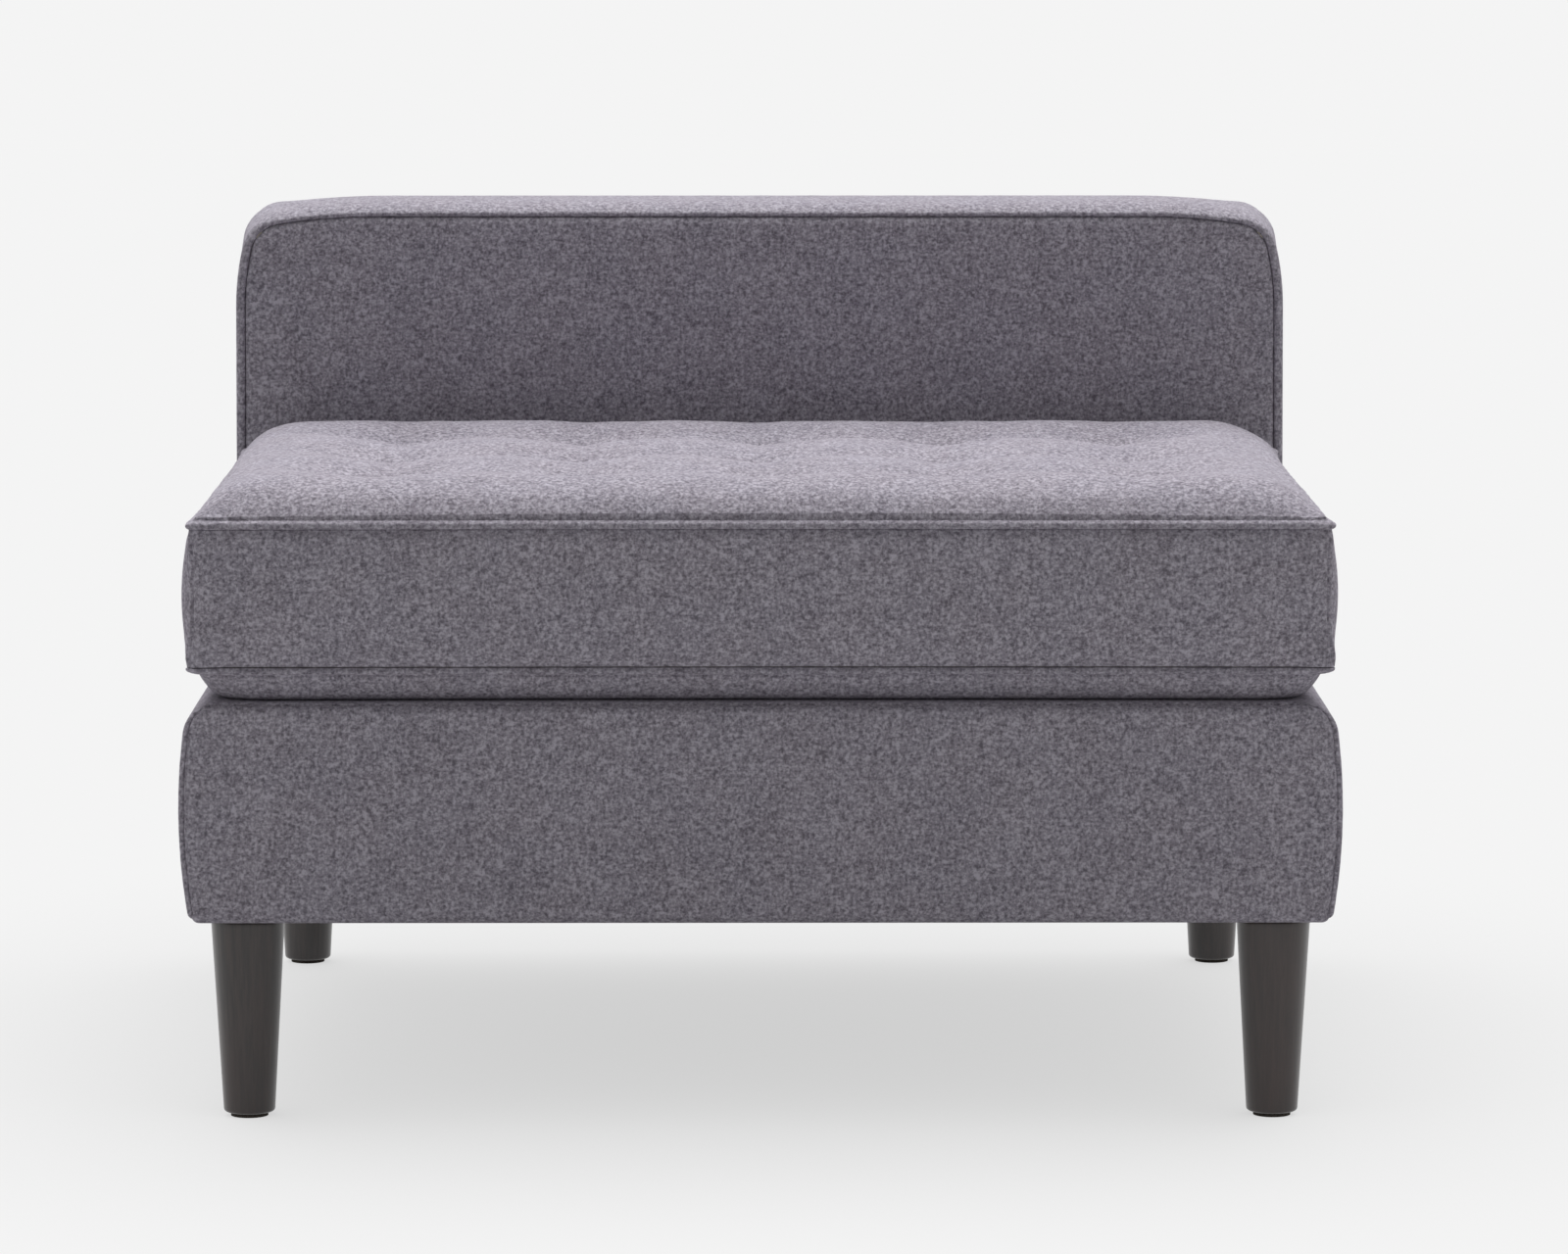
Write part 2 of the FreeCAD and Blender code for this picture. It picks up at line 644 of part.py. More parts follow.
# Covers of the base: a band over both sides and the deck that rolls over the front and rear
# edges, and two panels sewn in along the seam line
def makeBaseCovers():
    cover = size("cover_thickness")
    roll = size("shoulder_radius")
    gap = size("soft_gap")
    front = size("front_seam")
    rear = size("rear_face")
    bottom = size("base_bottom")
    hem = size("hem_return")
    half = size("half_width")
    seam = size("seam_inset")
    opening = baseOutline(seam, 2 * roll)
    panel_outline = baseOutline(seam + gap, 2 * roll)
    below = between((-half, front - hem, bottom - 4 * roll), (half, rear + hem, bottom))

    band = baseBlock(0).cut(baseBlock(cover))
    band = band.cut(prism(opening, front - 1, front + roll))
    band = band.cut(prism(opening, rear - roll, rear + 1))
    under = between((hem - half, front, bottom - 1), (half - hem, rear, bottom + 2 * cover))
    band = band.cut(under).cut(boltBores(size("board_top"), 2 * cover))
    solidFeature("base_band", band)

    face = crownedPanel(half, bottom, size("deck") - seam, basePlane, size("base_front_crown"),
                        prism(panel_outline, front - 3 * roll, front + 3 * roll))
    turn_in = between((hem - half, front + cover / 2, bottom), (half - hem, front + hem, bottom + cover))
    solidFeature("base_front_panel", face.fuse(turn_in).cut(below).removeSplitter())

    back_face = prism(panel_outline, rear - cover, rear).cut(below)
    turn_in = between((hem - half, rear - hem, bottom), (half - hem, rear - cover / 2, bottom + cover))
    solidFeature("base_rear_panel", back_face.fuse(turn_in).removeSplitter())


# Wadding between the covers and the timber of the base
def makeBasePadding():
    cover = size("cover_thickness")
    gap = size("soft_gap")
    inset = cover + gap
    roll = size("shoulder_radius")
    side = size("rail_side")
    board = size("board_side")
    top = size("rail_top")
    bottom = size("rail_bottom")
    front = size("front_seam")
    rear = size("rear_face")
    bands = size("web_thickness") + gap
    frame = between((-side, front, bottom - inset), (side, rear, top + bands))
    deck = between((-board, front, top), (board, rear, size("deck")))
    sides = prism(baseOutline(inset), front + roll, rear - roll).cut(frame).cut(deck)
    for solid in sides.Solids:
        label = "base_left_padding" if solid.CenterOfMass.x < 0 else "base_right_padding"
        solidFeature(label, solid)

    named(box("base_front_padding", ("soft_gap - rail_side", "front_seam + cover_thickness + soft_gap",
                                     "rail_bottom"),
              ("rail_side - soft_gap", "rail_front", "rail_top")), "base_front_padding")
    named(box("base_rear_padding", ("soft_gap - rail_side", "rail_rear", "rail_bottom"),
              ("rail_side - soft_gap", "rear_face - cover_thickness - soft_gap", "rail_top")),
          "base_rear_padding")
    named(box("deck_pad", ("-board_side", "front_seam + shoulder_radius",
                           "rail_top + web_thickness + soft_gap"),
              ("board_side", "board_front - soft_gap", "deck - cover_thickness")), "deck_pad")


# Frame of the back: two gables and a middle stile, rails for the bands, and the foot board
def makeBackFrame():
    slope = "tan(back_lean)"

    def front(height, behind):
        return "back_foot + back_front_padding + (%s - deck) * %s + %s" % (height, slope, behind)

    gable = [(front("deck", "0"), "deck"), ("rail_rear", "deck"),
             ("rail_rear", "back_frame_top"), (front("back_frame_top", "0"), "back_frame_top")]
    for label, start in (("back_left_gable", "-rail_side"), ("back_right_gable", "rail_side_inner")):
        sidePiece(label, gable, start, "rail_thickness")
    inner = "rail_thickness"
    foot = "deck + bottom_board_thickness"
    stile = [(front(foot, inner), foot), ("rail_rear_inner", foot),
             ("rail_rear_inner", "back_frame_top"), (front("back_frame_top", inner), "back_frame_top")]
    sidePiece("back_middle_stile", stile, "-rail_thickness / 2", "rail_thickness")
    for label, low, high in (("back_lower_rail", "deck", "deck + back_rail_height"),
                             ("back_upper_rail", "back_frame_top - back_rail_height", "back_frame_top")):
        rail = [(front(low, "0"), low), (front(low, inner), low),
                (front(high, inner), high), (front(high, "0"), high)]
        sidePiece(label, rail, "-rail_side_inner", "2 * rail_side_inner")
    named(box("back_rear_rail", ("-rail_side_inner", "rail_rear_inner", "back_frame_top - back_rail_height"),
              ("rail_side_inner", "rail_rear", "back_frame_top")), "back_rear_rail")
    named(box("back_stiff_board", ("soft_gap - rail_side", "rail_rear", "deck"),
              ("rail_side - soft_gap", "rail_rear + rear_board_thickness", "back_frame_top")),
          "back_stiff_board")
    named(box("back_rear_felt", ("soft_gap - rail_side", "rail_rear + rear_board_thickness", "deck"),
              ("rail_side - soft_gap", "rear_face - cover_thickness - soft_gap", "back_frame_top")),
          "back_rear_felt")


def sidePiece(label, corners, start, length):
    # A piece drawn from the side and carried across the sofa
    body = newBody(label)
    pad(body, polygon(newSketch(body, "YZ_Plane", "_side"), corners), length)
    return bind(body, {"Placement.Base.x": start})


# Upright bands across the front of the back, then foam, edge wadding and the covers
def makeBackUpholstery():
    cover = size("cover_thickness")
    gap = size("soft_gap")
    roll = size("shoulder_radius")
    inset = cover + gap
    half = size("half_width")
    side = size("rail_side")
    deck = size("deck")
    top = size("back_frame_top")
    rear = size("rear_face")
    padding = size("back_front_padding")
    web = size("web_thickness")
    width = size("web_width")
    inner = size("rail_side_inner")

    bands = []
    for x in spread(-inner, inner, count("webs_crosswise")):
        face = [(leaning(deck, padding - web), deck), (leaning(top, padding - web), top),
                (leaning(top, padding), top), (leaning(deck, padding), deck)]
        band = sideways(face, width / 2)
        band.translate(Vector(x, 0, 0))
        bands.append(band)
    solidFeature("back_webbing", Part.makeCompound(bands))

    front, foam_back = ["back_foot + (%s - deck) * tan(back_lean) + " + text for text in
                        ("cover_thickness + soft_gap", "back_front_padding - web_thickness")]
    foam = [(front % "deck", "deck"), (foam_back % "deck", "deck"),
            (foam_back % "back_frame_top", "back_frame_top"), (front % "back_frame_top", "back_frame_top")]
    sidePiece("back_front_foam", foam, "soft_gap - rail_side", "2 * (rail_side - soft_gap)")

    frame = between((-side, 0, deck - 1), (side, rear, top + gap))
    room = leaningSlab(roll, size("overall_depth"))
    wadding = prism(backOutline(inset), 0, rear - roll).common(room).cut(frame)
    solidFeature("back_edge_wadding", wadding)

    seam = size("seam_inset")
    opening = backOutline(seam, roll)
    panel_outline = backOutline(seam + gap)
    band = backBlock(0).cut(backBlock(cover, roll))
    front_window = leaningSlab(-roll, roll, 2 * roll).common(prism(opening, 0, rear))
    band = band.cut(front_window).cut(prism(opening, rear - roll, rear + 1))
    solidFeature("back_band", band)
    face = crownedPanel(half, deck, size("back_top") - seam, leaning, size("back_front_crown"),
                        prism(panel_outline, 0, rear))
    solidFeature("back_front_panel", face)
    solidFeature("back_rear_panel", prism(panel_outline, rear - cover, rear))


# The loose cushion. Seen from above, its corners are round and its front and sides are
# drawn in between them; the rear stays straight against the back. Foam is cut in facets.
def cushionOutline(out, height, faceted=False):
    radius = size("cushion_corner_radius") + out / 2
    half = size("cushion_half") + out
    waist = size("cushion_waist")
    front = size("cushion_front") - out
    rear = size("cushion_rear") + out
    middle = (front + rear) / 2
    lag = radius * (1 - math.sqrt(0.5))
    near, far, side = front + radius, rear - radius, half - radius
    stations = [(side, front), (0, front + waist), (-side, front), (lag - half, front + lag),
                (-half, near), (waist - half, middle), (-half, far), (lag - half, rear - lag),
                (-side, rear), (0, rear), (side, rear), (half - lag, rear - lag),
                (half, far), (half - waist, middle), (half, near), (half - lag, front + lag)]
    points = [Vector(x, y, height) for x, y in stations + stations[:1]]
    if faceted:
        return Part.makePolygon(points)
    edges = []
    for k in range(0, len(stations), 2):
        start, via, end = points[k:k + 3]
        straight = start.y == via.y
        bend = Part.LineSegment(start, end) if straight else Part.Arc(start, via, end)
        edges.append(bend.toShape())
    return Part.Wire(edges)


# Everything below the upper seam as one solid, smaller all round by inset: the rolled lower
# edge is a quarter ellipse, the border above it a bow between the two seams. What the cover
# hides is drawn with fewer steps, inside the true curve.
def cushionBody(inset, top, angles, shares, faceted=False):
    low = size("cushion_bottom")
    seam = size("lower_seam")
    levels = []
    for angle in angles:
        drop = (seam - low - inset) * math.cos(math.radians(angle))
        levels.append((seam - drop, (inset - size("tray_roll")) * (1 - math.sin(math.radians(angle)))))
    for share in shares:
        levels.append((seam + share * size("border_height"),
                       size("border_bulge") * (1 - (2 * share - 1) ** 2)))
    wires = [cushionOutline(out - inset, height, faceted) for height, out in levels if height < top]
    wires.append(cushionOutline(-inset, top, faceted))
    return Part.makeLoft(wires, True, True)


def cushionInside(inset, top, faceted=False):
    tray_angles = (0, 50)
    border_shares = (0, 0.5, 1)
    return cushionBody(inset, top, tray_angles, border_shares, faceted)


def tuftPlaces():
    columns = count("tuft_columns")
    rows = count("tuft_rows")
    across = 2 * size("cushion_half") / (columns + 1)
    along = (size("cushion_rear") - size("cushion_front")) / (rows + 1)
    for column in range(columns):
        for row in range(rows):
            yield (column + 1) * across - size("cushion_half"), size("cushion_front") + (row + 1) * along


# One section of the tufted top at a depth: a scallop for each pillow, meeting at the columns
def tuftSection(depth, lift, on_row):
    cells = count("tuft_columns") + 1
    half = size("cushion_half")
    seam = size("upper_seam")
    lip = size("cover_thickness")
    least_bow = lip / 5
    step = 2 * half / cells
    valley = size("tuft_height") * on_row + size("column_height") * (1 - on_row)
    crest = size("row_height") * on_row + size("crown_height") * (1 - on_row)
    foot = seam + lip

    def at(x, height):
        return Vector(x, depth, max(foot, seam + lift * height))
    edges = [Part.LineSegment(Vector(-half, depth, seam), Vector(-half, depth, foot)).toShape()]
    for k in range(cells):
        left = -half + k * step
        ends = k == 0 or k == cells - 1
        first = Vector(left, depth, foot) if k == 0 else at(left, valley)
        last = Vector(left + step, depth, foot) if k == cells - 1 else at(left + step, valley)
        top = at(left + step / 2, crest - (size("end_pillow_drop") if ends else 0))
        top.z += least_bow
        edges.append(Part.Arc(first, top, last).toShape())
    edges.append(Part.LineSegment(Vector(half, depth, foot), Vector(half, depth, seam)).toShape())
    edges.append(Part.LineSegment(Vector(half, depth, seam), Vector(-half, depth, seam)).toShape())
    return Part.Wire(edges)


def tuftedTop():
    rows = count("tuft_rows")
    front = size("cushion_front")
    cell = (size("cushion_rear") - front) / (rows + 1)
    roll = size("edge_roll")
    near_edge = [0, 0.05, 0.2, 0.5, 0.75]
    per_cell = 4
    inner = [1 + k / per_cell for k in range(per_cell * (rows - 1) + 1)]
    stations = near_edge + inner + [rows + 1 - share for share in reversed(near_edge)]
    sections = []
    for share in stations:
        from_edge = min(share, rows + 1 - share) / roll
        lift = 1 if from_edge >= 1 else math.sqrt(1 - (1 - from_edge) ** 2)
        near = min(share, rows + 1 - share)
        on_row = 0 if near < 0.5 else (1 + math.cos(2 * math.pi * share)) / 2
        sections.append(tuftSection(front + share * cell, lift, on_row))
    top = Part.makeLoft(sections, True, True)
    seam = size("upper_seam")
    trim = Part.Face(cushionOutline(0, seam)).extrude(Vector(0, 0, 2 * size("crown_height")))
    return top.common(trim)


def makeCushion():
    cover = size("cover_thickness")
    gap = size("soft_gap")
    upper = size("upper_seam")
    lower = size("lower_seam")
    half = size("half_width")
    reach = size("overall_depth")
    zip_z = size("zip_z")
    zip_half = size("zip_length") / 2
    end = zip_half + size("zip_end")
    slot = size("zip_slot_height") / 2
    rear = size("cushion_rear")
    face = size("zip_tape_face")

    solidFeature("cushion_tufted_top", tuftedTop())
    tray_angles = (0, 35, 65)
    border_shares = (0, 0.14, 0.5, 0.86)
    skin = cushionBody(0, upper, tray_angles, border_shares).cut(cushionInside(cover, upper + 1))
    split = between((-half, -reach, lower), (half, reach, upper))
    border = skin.common(split)
    solidFeature("cushion_bottom_panel", skin.cut(split))
    rear_strip = between((-end, rear - cover * 2, lower), (end, rear + half, upper))
    zipped = border.common(between((gap - end, rear - cover * 2, lower), (end - gap, rear + half, upper)))
    tape = size("zip_tape_height") / 2
    bed = between((-end, rear - half, zip_z - tape), (end, face, zip_z + tape))
    opening = between((-zip_half, rear - half, zip_z - slot), (zip_half, rear + half, zip_z + slot))
    solidFeature("cushion_border", border.cut(rear_strip))
    solidFeature("cushion_zipped_border", zipped.cut(bed).cut(opening))

    core = cushionInside(cover + gap + size("cushion_waist") / 4, upper, True)
    core = core.cut(between((-half, -reach, lower - reach), (half, reach, padTop())))
    recess = between((-end, face - size("zip_tape_thickness") - gap, zip_z - tape - gap),
                     (end, rear + half, zip_z + tape + gap))
    play = size("tie_play")
    slits = []
    for x, y in tuftPlaces():
        across = size("tie_width") / 2 + play
        along = size("tie_thickness") / 2 + play
        slits.append(between((x - across, y - along, lower - reach), (x + across, y + along, upper + 1)))
    solidFeature("cushion_core", core.cut(Part.makeCompound(slits)).cut(recess))


def padTop():
    return size("cushion_bottom") + size("cover_thickness") + size("tuft_pad_thickness")


# Woven ties hold the tufts down to felt pads under the core
def makeTufting():
    ties, pads = [], []
    bottom = padTop() - size("tuft_pad_thickness")
    for x, y in tuftPlaces():
        across = size("tie_width") / 2
        along = size("tie_thickness") / 2
        ties.append(between((x - across, y - along, padTop()), (x + across, y + along, size("upper_seam"))))
        half = size("tuft_pad_size") / 2
        pads.append(between((x - half, y - half, bottom), (x + half, y + half, padTop())))
    solidFeature("tuft_ties", Part.makeCompound(ties))
    solidFeature("tuft_pads", Part.makeCompound(pads))


# Coil zip behind the cushion. The slider clasps the coil from outside and runs along it.
def makeZip():
    end = "(zip_length / 2 + zip_end - soft_gap)"
    named(box("zip_tape", ("-" + end, "zip_tape_face - zip_tape_thickness", "zip_z - zip_tape_height / 2"),
              (end, "zip_tape_face", "zip_z + zip_tape_height / 2")), "zip_tape")
    named(box("zip_coil", ("-zip_length / 2", "zip_tape_face", "zip_z - zip_coil_height / 2"),
              ("zip_length / 2", "zip_coil_face", "zip_z + zip_coil_height / 2")), "zip_coil")
    inner = "zip_coil_height / 2 + slider_play"
    outer = inner + " + slider_wall"
    back = "zip_tape_face + slider_play"
    plate = "zip_coil_face + slider_play"
    face = plate + " + slider_wall"
    corners = [(back, "zip_z - (%s)" % outer), (face, "zip_z - (%s)" % outer),
               (face, "zip_z + %s" % outer), (back, "zip_z + %s" % outer),
               (back, "zip_z + %s" % inner), (plate, "zip_z + %s" % inner),
               (plate, "zip_z - (%s)" % inner), (back, "zip_z - (%s)" % inner)]
    sidePiece("zip_slider", corners, "-zip_length / 2", "slider_length")


def check():
    doc.recompute()
    for piece in doc.Objects:
        if "Invalid" in piece.State or "Error" in piece.State:
            raise RuntimeError("%s did not build: %s" % (piece.Name, piece.State))
    for piece in subParts:
        if piece.Shape.isNull() or not piece.Shape.isValid() or not piece.Shape.Solids:
            raise RuntimeError("%s has no valid solid" % piece.Label)


makeBaseFrame()
makeCornerBlocks()
makeLegs()
makeLegHardware()
makeDustCover()
makeBackSeat()
makeSeatWebbing()
makeBaseCovers()
makeBasePadding()
makeBackFrame()
makeBackUpholstery()
makeCushion()
makeTufting()
makeZip()
check()
for piece in subParts:
    piece.Shape.exportStep("parts/%s.step" % piece.Label)
print("%d nodes, %d solids" % (len(subParts), sum(len(piece.Shape.Solids) for piece in subParts)))
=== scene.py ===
import math

import bmesh
import bpy
import numpy as np
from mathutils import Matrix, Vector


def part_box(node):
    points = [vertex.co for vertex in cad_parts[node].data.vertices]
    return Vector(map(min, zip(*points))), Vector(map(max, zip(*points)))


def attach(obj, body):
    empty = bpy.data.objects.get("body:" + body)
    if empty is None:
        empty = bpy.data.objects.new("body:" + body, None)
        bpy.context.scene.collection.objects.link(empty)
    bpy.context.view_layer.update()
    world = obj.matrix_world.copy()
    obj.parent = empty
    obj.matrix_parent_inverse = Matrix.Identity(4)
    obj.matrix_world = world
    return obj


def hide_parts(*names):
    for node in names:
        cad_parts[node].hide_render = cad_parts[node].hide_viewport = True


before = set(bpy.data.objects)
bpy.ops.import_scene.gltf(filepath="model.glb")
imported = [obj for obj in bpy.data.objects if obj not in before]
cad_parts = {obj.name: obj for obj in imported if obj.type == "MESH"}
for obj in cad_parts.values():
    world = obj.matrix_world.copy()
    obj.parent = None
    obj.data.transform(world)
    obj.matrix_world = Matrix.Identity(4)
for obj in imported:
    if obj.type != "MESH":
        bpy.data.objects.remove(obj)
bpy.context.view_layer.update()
print("frame loaded:", len(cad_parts), "nodes")

# Every length is in metres. The sofa faces -Y, +X is to the right of someone who faces it.


# Curves and grids

def smooth(x):
    x = np.clip(x, 0, 1)
    return x * x * (3 - 2 * x)


def ripple(s, seed, waves, height):
    # A gentle uneven line along s: a few sines with fixed phases
    rng = np.random.default_rng(seed)
    total = np.zeros_like(s)
    for length in waves:
        total += np.sin(2 * np.pi * s / (length * rng.uniform(0.8, 1.25)) + rng.uniform(0, 2 * np.pi))
    return height * total / math.sqrt(len(waves))


def rumple(x, y, seed, length, height):
    # A gentle uneven surface: crossed waves in fixed random directions
    rng = np.random.default_rng(seed)
    total = np.zeros_like(x)
    for _ in range(7):
        turn = rng.uniform(0, np.pi)
        wave = length * rng.uniform(0.6, 1.7)
        along = x * math.cos(turn) + y * math.sin(turn)
        total += np.sin(2 * np.pi * along / wave + rng.uniform(0, 2 * np.pi))
    return height * total / math.sqrt(7)


def pinch(distance, width, depth):
    # How far a tight cover is drawn in beside a seam
    share = np.clip(distance / width, 0, 1)
    return depth * (1 - np.sqrt(1 - (1 - share) ** 2))


def sink(distance, width, depth):
    # The same for a cover that sinks slowly to its seam
    return depth * (1 - smooth(np.clip(distance / width, 0, 1) ** 0.8))


def upwards(place):
    return (0, 0, 1)


def downwards(place):
    return (0, 0, -1)


def addObject(name, data):
    made = bpy.data.objects.new(name, data)
    bpy.context.scene.collection.objects.link(made)
    return made


def sewnPiece(name, points, quads, facing=None):
    # A cloth piece from points and quads. facing gives the side that a face at a place looks to.
    mesh = bpy.data.meshes.new(name)
    mesh.from_pydata(np.asarray(points).reshape(-1, 3).tolist(), [], quads)
    mesh.polygons.foreach_set("use_smooth", [True] * len(mesh.polygons))
    if facing and sum(p.area * np.dot(p.normal, facing(p.center)) for p in mesh.polygons) < 0:
        mesh.flip_normals()
    return addObject(name, mesh)


def gridQuads(rows, columns, closed=False):
    index = np.arange(rows * columns).reshape(rows, columns)
    after = np.roll(index, -1, axis=1) if closed else index[:, 1:]
    here = index if closed else index[:, :-1]
    return np.stack([here[:-1], after[:-1], after[1:], here[1:]], axis=-1).reshape(-1, 4).tolist()


def gridPiece(name, points, facing=None):
    return sewnPiece(name, points, gridQuads(*points.shape[:2]), facing)


def tubeQuads(first, rows, sides):
    # The faces of a tube whose points start at first: around its rows, and both ends
    around = np.array(gridQuads(rows, sides, closed=True)) + first
    index = first + np.arange(rows * sides)
    return around.tolist() + [index[:sides][::-1].tolist(), index[-sides:].tolist()]


def thicken(piece, thickness=0.0022):
    layer = piece.modifiers.new("cloth thickness", "SOLIDIFY")
    layer.thickness = thickness
    layer.offset = -1
    return piece


def chain(x, z, steps):
    # A line from straight runs and arcs. The heading starts to the right and turns downwards.
    # A step is ("run", length, parts) or (radius, degrees, parts).
    heading = 0.0
    places = []
    for kind, amount, parts in steps:
        turn = 0.0 if kind == "run" else math.radians(amount)
        for k in range(parts + 1):
            share = k / parts
            if kind == "run":
                px, pz = x + amount * share * math.cos(heading), z - amount * share * math.sin(heading)
            else:
                angle = heading + turn * share
                px = x + kind * (math.sin(angle) - math.sin(heading))
                pz = z + kind * (math.cos(angle) - math.cos(heading))
            if k < parts:
                places.append((px, pz))
        x, z, heading = px, pz, heading + turn
    return np.array(places + [(x, z)])


class Outline:
    # The same outline at every inset, point for point, so that a cloth edge can be drawn in
    step = 0.0005

    def __init__(self, line, least, most):
        self.least = least
        self.lines = np.array([line(inset) for inset in np.arange(least, most, self.step)])

    def at(self, inset):
        # inset is one number for all points or one for each
        inset = np.broadcast_to(inset, self.lines.shape[1])
        place = np.clip((inset - self.least) / self.step, 0, len(self.lines) - 1.001)
        low = place.astype(int)
        share = (place - low)[:, None]
        index = np.arange(self.lines.shape[1])
        return self.lines[low, index] * (1 - share) + self.lines[low + 1, index] * share


def fullLoop(half):
    # Mirrors the right half of an outline, from its top middle down, into a closed loop
    left = half[-2:0:-1] * np.array([-1] + [1] * (half.shape[1] - 1))
    return np.concatenate([half, left])


def patch(loop, corners, inside):
    # Fills a closed loop with a grid between its four corners. inside gives the third number of
    # every grid point from the first two, or is that number itself.
    loop = np.roll(loop, -corners[0], axis=0)
    a, b, c = [(k - corners[0]) % len(loop) for k in corners[1:]]
    m, n = a, b - a
    low, high = loop[:m + 1], loop[list(range(c, b - 1, -1))]
    right, left = loop[a:b + 1], loop[[(len(loop) - k) % len(loop) for k in range(n + 1)]]

    def shares(one, other):
        runs = [np.concatenate([[0], np.cumsum(np.linalg.norm(np.diff(edge[:, :2], axis=0), axis=1))])
                for edge in (one, other)]
        return sum(run / run[-1] for run in runs) / 2
    s = shares(low, high)[:, None, None]
    t = shares(left, right)[None, :, None]
    flat = ((1 - t) * low[:, None, :2] + t * high[:, None, :2]
            + (1 - s) * left[None, :, :2] + s * right[None, :, :2]
            - (1 - s) * (1 - t) * low[0, :2] - s * (1 - t) * low[-1, :2]
            - (1 - s) * t * high[0, :2] - s * t * high[-1, :2])
    third = inside(flat[..., 0], flat[..., 1]) if callable(inside) else np.full(flat.shape[:2], inside)
    grid = np.concatenate([flat, third[..., None]], axis=-1)
    index = np.arange((m + 1) * (n + 1)).reshape(m + 1, n + 1)
    rim = np.concatenate([index[:-1, 0], index[-1, :-1], index[:0:-1, -1], index[0, :0:-1]])
    rim = np.roll(rim, corners[0])
    return grid, index, rim


def patchPiece(name, loop, corners, inside, rings, order, facing):
    # A filled loop and the rings of cloth around it, out to the tucked-in edge.
    # order puts the loop's two numbers and the third one in x, y, z order.
    grid, index, rim = patch(loop, corners, inside)
    points = [grid.reshape(-1, 3)[:, order]]
    quads = np.stack([index[:-1, :-1], index[1:, :-1], index[1:, 1:], index[:-1, 1:]], axis=-1)
    quads = quads.reshape(-1, 4).tolist()
    before, count = rim, index.size
    for ring in rings:
        here = np.arange(count, count + len(ring))
        for k in range(len(ring)):
            after = (k + 1) % len(ring)
            quads.append([int(before[k]), int(here[k]), int(here[after]), int(before[after])])
        points.append(ring)
        before, count = here, count + len(ring)
    return sewnPiece(name, np.concatenate(points), quads, facing)


# Finishes

class Value:
    # A socket of a finish that can be added, multiplied and subtracted in plain expressions
    def __init__(self, finish, socket):
        self.finish, self.socket = finish, socket

    def math(self, operation, one, other):
        return self.finish.node("Math", {"operation": operation}, {0: one, 1: other})

    def __add__(self, other):
        return self.math("ADD", self, other)

    def __sub__(self, other):
        return self.math("SUBTRACT", self, other)

    def __rsub__(self, other):
        return self.math("SUBTRACT", other, self)

    def __mul__(self, other):
        return self.math("MULTIPLY", self, other)

    __radd__ = __add__
    __rmul__ = __mul__


class Finish:
    # One procedural material, built up node by node
    def __init__(self, name, world=None):
        # a material, or the sky where a world is given
        self.material = world or bpy.data.materials.new(name)
        self.material.use_nodes = True
        self.tree = self.material.node_tree
        self.tree.nodes.clear()

    def node(self, kind, settings=None, sockets=None, output=0):
        made = self.tree.nodes.new("ShaderNode" + kind)
        for name, setting in (settings or {}).items():
            if name == "stops":
                ramp = made.color_ramp
                while len(ramp.elements) < len(setting):
                    ramp.elements.new(0.5)
                for element, (place, colour) in zip(ramp.elements, setting):
                    element.position, element.color = place, colour
            else:
                setattr(made, name, setting)
        for name, given in (sockets or {}).items():
            if isinstance(given, Value):
                self.tree.links.new(given.socket, made.inputs[name])
            else:
                made.inputs[name].default_value = given
        return Value(self, made.outputs[output]) if made.outputs else None

    def place(self, stretch=(1, 1, 1), turn=(0, 0, 0)):
        spot = self.node("TexCoord", output=3)
        return self.node("Mapping", {}, {0: spot, 2: turn, 3: stretch})

    def noise(self, where, scale, detail=2.0, rough=0.5):
        return self.node("TexNoise", {}, {"Vector": where, "Scale": scale, "Detail": detail,
                                                    "Roughness": rough})

    def between(self, value, low, high):
        # Spreads the part of value from low to high over 0 to 1
        return self.node("MapRange", {"interpolation_type": "SMOOTHSTEP"},
                         {0: value, 1: low, 2: high, 3: 0.0, 4: 1.0})

    def mix(self, factor, one, other):
        return self.node("Mix", {"data_type": "RGBA"}, {0: factor, 6: one, 7: other}, 2)

    def bump(self, height, distance, strength=1.0, over=None):
        sockets = {"Height": height, "Distance": distance, "Strength": strength}
        if over is not None:
            sockets["Normal"] = over
        return self.node("Bump", {}, sockets)

    def seen(self):
        # 1 where the camera looks, straight, in a mirror or through glass
        straight, mirrored, through = [self.node("LightPath", output=name) for name in
                                       ("Is Camera Ray", "Is Glossy Ray", "Is Transmission Ray")]
        return straight.math("MAXIMUM", straight.math("MAXIMUM", straight, mirrored), through)

    def surface(self, sockets):
        shader = self.node("BsdfPrincipled", {}, sockets)
        self.node("OutputMaterial", {}, {0: shader})
        return self.material


def grey(level):
    return (level, level, level, 1)


def colour(red, green, blue):
    # A colour as it looks on a screen, 0 to 255, turned into light
    parts = [part / 255 for part in (red, green, blue)]
    return tuple(part / 12.92 if part < 0.04 else ((part + 0.055) / 1.055) ** 2.4 for part in parts) + (1,)


felt = {"light": colour(192, 187, 198), "middle": colour(150, 145, 155), "dark": colour(105, 100, 110),
        "warm": colour(160, 150, 156), "cool": colour(147, 145, 158), "fibre": 0.0022, "tuft": 0.0036,
        "cloud": 0.03, "relief": 0.00035, "roughness": 0.95, "sheen": 0.18}


